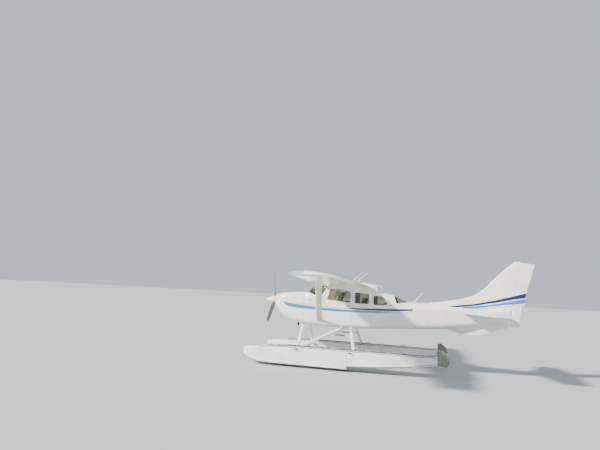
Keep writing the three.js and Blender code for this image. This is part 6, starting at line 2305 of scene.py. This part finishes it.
@dataclass
class Trim:
    """Aerials, door hinges, latches, vents, the firewall and the rows of rivets."""

    form: FuselageForm
    latch_height: float = -150

    aerials = {
        "aerial_roof_front": ((2920, -90, 660), (3330, -90, 1050)),
        "aerial_roof_rear": ((3050, 90, 660), (3460, 90, 1040)),
        "aerial_tail": ((4960, 0, 120), (5250, 0, 460)),
    }
    hinges = {
        "pilot_door": (2140, -590, -1, (-430, 40)),
        "cargo_door_front": (3104, 590, -1, (-430, 200)),
        "cargo_door_rear": (4262, 547, 1, (-430, -60)),
    }

    def build(self) -> None:
        """Makes every small fitting on the fuselage."""
        for name, (foot, tip) in self.aerials.items():
            self.aerial(name, foot, tip)
        for name, (station, butt, ahead, heights) in self.hinges.items():
            self.door_hinge(name, station, butt, ahead, heights)
        self.cowl_fittings()
        self.side_vents()
        self.firewall()
        self.rivets()

    def aerial(self, name: str, foot: tuple, tip: tuple) -> None:
        """A whip on a raked base, thinner towards its tip."""
        low, high = at(*foot), at(*tip)
        top = self.form.section(foot[0])["top"]
        share = (top - foot[2]) / (tip[2] - foot[2])
        skin = low.lerp(high, max(share, 0) + 0.004)
        way = (high - low).normalized()
        parts = [
            rod("lower", skin, skin.lerp(high, 0.5), 0.017, sides=16, guide=ACROSS),
            rod("upper", skin.lerp(high, 0.49), high, 0.013, sides=16, guide=ACROSS),
            bevel(rod("boot", skin - way * 0.002, skin + way * 0.05, 0.028, sides=20,
                      guide=ACROSS), 0.006, 3),
            bevel(block("base", skin + Vector((-0.045, -0.019, -0.004)),
                        skin + Vector((0.045, 0.019, 0.007))), 0.006, 3),
        ]
        piece = fuse(name + "_whip", parts)
        fit(piece, Finishes.plain_paint, "white_paint", AIRFRAME, name, angle=40)

    def door_hinge(self, name: str, station: float, butt: float, ahead: int,
                   heights: tuple) -> None:
        """Two strap hinges on the hinge line: barrels on the frame, one knuckle on the door."""
        side = PORT if butt < 0 else STARBOARD
        fixed, moving = [], []
        for height in heights:
            for group, low, high, way in ((fixed, -34, -12, ahead), (moving, -11, 11, -ahead),
                                          (fixed, 12, 34, ahead)):
                group.append(rod("knuckle", at(station, butt, height + low),
                                 at(station, butt, height + high), 0.011, sides=16))
                edges = sorted((station, station + way * 34))
                skin = min(self.form.butt(x, height) for x in edges)
                inner, outer = sorted((side * (skin - 0.5), side * (abs(butt) - 2)))
                group.append(block("leaf", at(edges[0], inner, height + low),
                                   at(edges[1], outer, height + high)))
        for body, parts, label in ((AIRFRAME, fixed, "_hinge_leaves"),
                                   (name, moving, "_hinge_knuckles")):
            piece = bevel(fuse(name + label, parts), 0.001, 1)
            fit(piece, Finishes.plain_paint, "white_paint", body)

    def cowl_fittings(self) -> None:
        """Cowling latches along the seam and the oil door."""
        parts = []
        for side in (PORT, STARBOARD):
            for station in (640, 900, 1160, 1400):
                foot = self.form.on_skin(station, self.latch_height, side, -1)
                out = Vector((0, side, 0))
                parts.append(bevel(rod("latch", foot, foot + out * 0.0045, 0.021, sides=20,
                                       guide=AFT), 0.001, 1))
        top = self.form.section(980)["top"]
        parts.append(bevel(block("door", at(930, -170, top - 10), at(1040, -60, top + 2.5)),
                           0.001, 1))
        fit(fuse("cowling_latches", parts), Finishes.livery, "white_paint", AIRFRAME, angle=40)

    def side_vents(self) -> None:
        """A round air vent on each side, ahead of the doors."""
        parts = []
        for side in (PORT, STARBOARD):
            foot = self.form.on_skin(1700, 60, side, -2)
            parts.append(bevel(rod("vent", foot, foot + Vector((0, side * 0.006, 0)), 0.07,
                                   sides=28, guide=AFT), 0.0015, 2))
        fit(fuse("side_vents", parts), Finishes.aluminium, "bare_aluminium", AIRFRAME, angle=40)

    def firewall(self) -> None:
        """The stainless sheet between the engine and the cabin."""
        sheet = self.form.tube("firewall_sheet", 1465.3, 1474.7, 4)
        fit(bevel(sheet, 0.0008, 1), Finishes.steel, "bare_steel", AIRFRAME, "firewall")

    def rivets(self) -> None:
        """Rows of domed rivets along the frames and seams of the skin, wings and floats."""
        sides = []
        for side in SIDES.values():
            for station in FRAME_STATIONS:
                for shift in (-14, 14):
                    sides += [(at(station + shift, side * 1300, z), Vector((0, -side, 0)))
                              for z in range(-700, 640, 44)]
            for height in (-560, -330):
                sides += [(at(x, side * 1300, height), Vector((0, -side, 0)))
                          for x in range(1500, 7200, 52)]
        for piece in ("cabin_wall", "tail_cone_skin"):
            riveted(piece, sides, AIRFRAME, Finishes.livery)
        for name, side in SIDES.items():
            rows = [(x, y) for y in range(760, 5300, 380) for x in range(2150, 3500, 62)]
            rows += [(x, y) for x in (2330, 2860, 3240) for y in range(640, 5200, 62)]
            riveted("wing_" + name + "_skin", [
                (at(x, side * y, 700 + 900 * level), Vector((0, 0, -level)))
                for x, y in rows for level in (1, -1)], AIRFRAME, Finishes.wing_paint)
            hull = [(x, z) for x in Float.frame_stations for z in range(-1960, -1380, 46)]
            hull += [(x, -1500) for x in range(120, 5700, 58)]
            riveted("float_" + name + "_hull", [
                (at(x, side * FLOAT_BUTT + 700 * way, z), Vector((0, -way, 0)))
                for x, z in hull for way in (1, -1)], AIRFRAME, Finishes.float_paint)


RIVET_SQUARENESS = -0.55
RIVET_REACH = 1.4


def riveted(name: str, rays: list[tuple[Vector, Vector]], body: str, finish: Finish) -> None:
    """Sets a rivet wherever a ray lands squarely on a piece.

    Args:
        name: the piece's name.
        rays: pairs of a start and a direction.
        body: the body that the rivets ride on.
        finish: the piece's own paint.
    """
    bpy.context.view_layer.update()
    piece = bpy.data.objects[name]
    spots = []
    for start, way in rays:
        hit, where, out, _ = piece.ray_cast(start, way, distance=RIVET_REACH)
        if hit and out.dot(way) < RIVET_SQUARENESS:
            spots.append((where, out))
    rivet_field(name + "_rivets", spots, body, finish)


def rivet_field(name: str, spots: list[tuple[Vector, Vector]], body: str, finish: Finish,
                radius: float = 0.0042) -> None:
    """Low closed domes, six-sided, at every spot, as one painted piece.

    Args:
        name: the piece's name.
        spots: pairs of a place on the skin and the way that it faces.
        body: the body that the rivets ride on.
        finish: the paint of the skin round them.
        radius: each dome's radius, in metres.
    """
    points, faces = [], []
    for here, out in spots:
        guide = AFT if abs(out.x) < 0.8 else ACROSS
        side = out.cross(guide).normalized()
        up = side.cross(out)
        first = len(points)
        points.append(here + out * 0.0013)
        for level, wide in ((0.0009, 0.62), (-0.0006, 1.0)):
            points += [here + out * level + (side * math.cos(a) + up * math.sin(a)) * radius * wide
                       for a in (math.pi * k / 3 for k in range(6))]
        for k in range(6):
            after = (k + 1) % 6
            faces.append((first, first + 1 + k, first + 1 + after))
            faces.append((first + 1 + k, first + 7 + k, first + 7 + after, first + 1 + after))
        faces.append(tuple(first + 12 - k for k in range(6)))
    mesh = bpy.data.meshes.new(name)
    mesh.from_pydata(points, [], faces)
    piece = bpy.data.objects.new(name, mesh)
    bpy.context.scene.collection.objects.link(piece)
    tidy(piece, 1e-7)
    fit(piece, finish, "", body, angle=70)


@dataclass(frozen=True)
class Studio:
    """The plain pale stage, its soft light and the photograph's camera."""

    eye: Vector = Vector((1.3925, -16.62, 2.355))
    yaw: float = 15.13
    pitch: float = 7.38
    roll: float = 2.92
    focal_px: float = 499.9
    frame_px: float = 600.0
    sensor: float = 36.0
    sky_strength: float = 1.1
    sun_strength: float = 9.5
    sun_spread: float = 5
    sun_way: Vector = Vector((1.2, 1.0, -0.97))

    def build(self) -> None:
        """Makes the floor, the lights and the camera."""
        self.floor()
        self.lights()
        self.camera()

    def floor(self) -> None:
        """A wide, level, matt floor."""
        deselect()
        bpy.ops.mesh.primitive_plane_add(size=400)
        floor = named("studio_floor")
        matt = Finish("studio_floor_paint", "#b4babe", "#b1b7bb", 0.85, blotch_mm=4000.0)
        dress(floor, matt)

    def lights(self) -> None:
        """A warm soft key from the port bow and above, with a pale sky all round."""
        world = bpy.data.worlds.new("studio_sky")
        bpy.context.scene.world = world
        world.use_nodes = True
        back = world.node_tree.nodes["Background"]
        back.inputs["Color"].default_value = linear("#cdd6dd")
        back.inputs["Strength"].default_value = self.sky_strength
        lamp = bpy.data.lights.new("soft_key", "SUN")
        lamp.energy = self.sun_strength
        lamp.angle = math.radians(self.sun_spread)
        lamp.color = linear("#fff6e8")[:3]
        key = bpy.data.objects.new("soft_key", lamp)
        key.rotation_euler = self.sun_way.to_track_quat("-Z", "Y").to_euler()
        bpy.context.scene.collection.objects.link(key)

    def camera(self) -> None:
        """The camera at the photograph's viewpoint."""
        yaw, pitch, roll = (math.radians(v) for v in (self.yaw, self.pitch, self.roll))
        ahead = Vector((-math.sin(yaw) * math.cos(pitch), math.cos(yaw) * math.cos(pitch),
                        math.sin(pitch)))
        level = Vector((math.cos(yaw), math.sin(yaw), 0))
        rise = level.cross(ahead)
        right = level * math.cos(roll) + rise * math.sin(roll)
        up = rise * math.cos(roll) - level * math.sin(roll)
        data = bpy.data.cameras.new("photo_view")
        data.sensor_width = self.sensor
        data.lens = self.focal_px / self.frame_px * self.sensor
        data.clip_end = 500
        camera = bpy.data.objects.new("photo_view", data)
        turn = Matrix((right, up, -ahead)).transposed().to_4x4()
        camera.matrix_world = Matrix.Translation(self.eye) @ turn
        bpy.context.scene.collection.objects.link(camera)
        bpy.context.scene.camera = camera


def plain_nodes() -> None:
    """Gives any CAD node that stays in sight its finish."""
    for name, node in frame["nodes"].items():
        if not node.hide_render:
            log.info("%s stays in sight", name)
            dress(node, Finishes.plain_paint)


def main() -> None:
    """Builds the aircraft in order."""
    logging.basicConfig(level=logging.INFO, format="%(message)s")
    form = FuselageForm()
    Fuselage(form).build()
    for name, side in SIDES.items():
        Wing(name, side).build()
        Float(name, side).build()
    Tail().build()
    FloatGear().build()
    Propeller().build()
    Engine().build()
    Cabin(form).build()
    Trim(form).build()
    Studio().build()
    plain_nodes()
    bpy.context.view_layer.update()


if __name__ == "__main__":
    main()
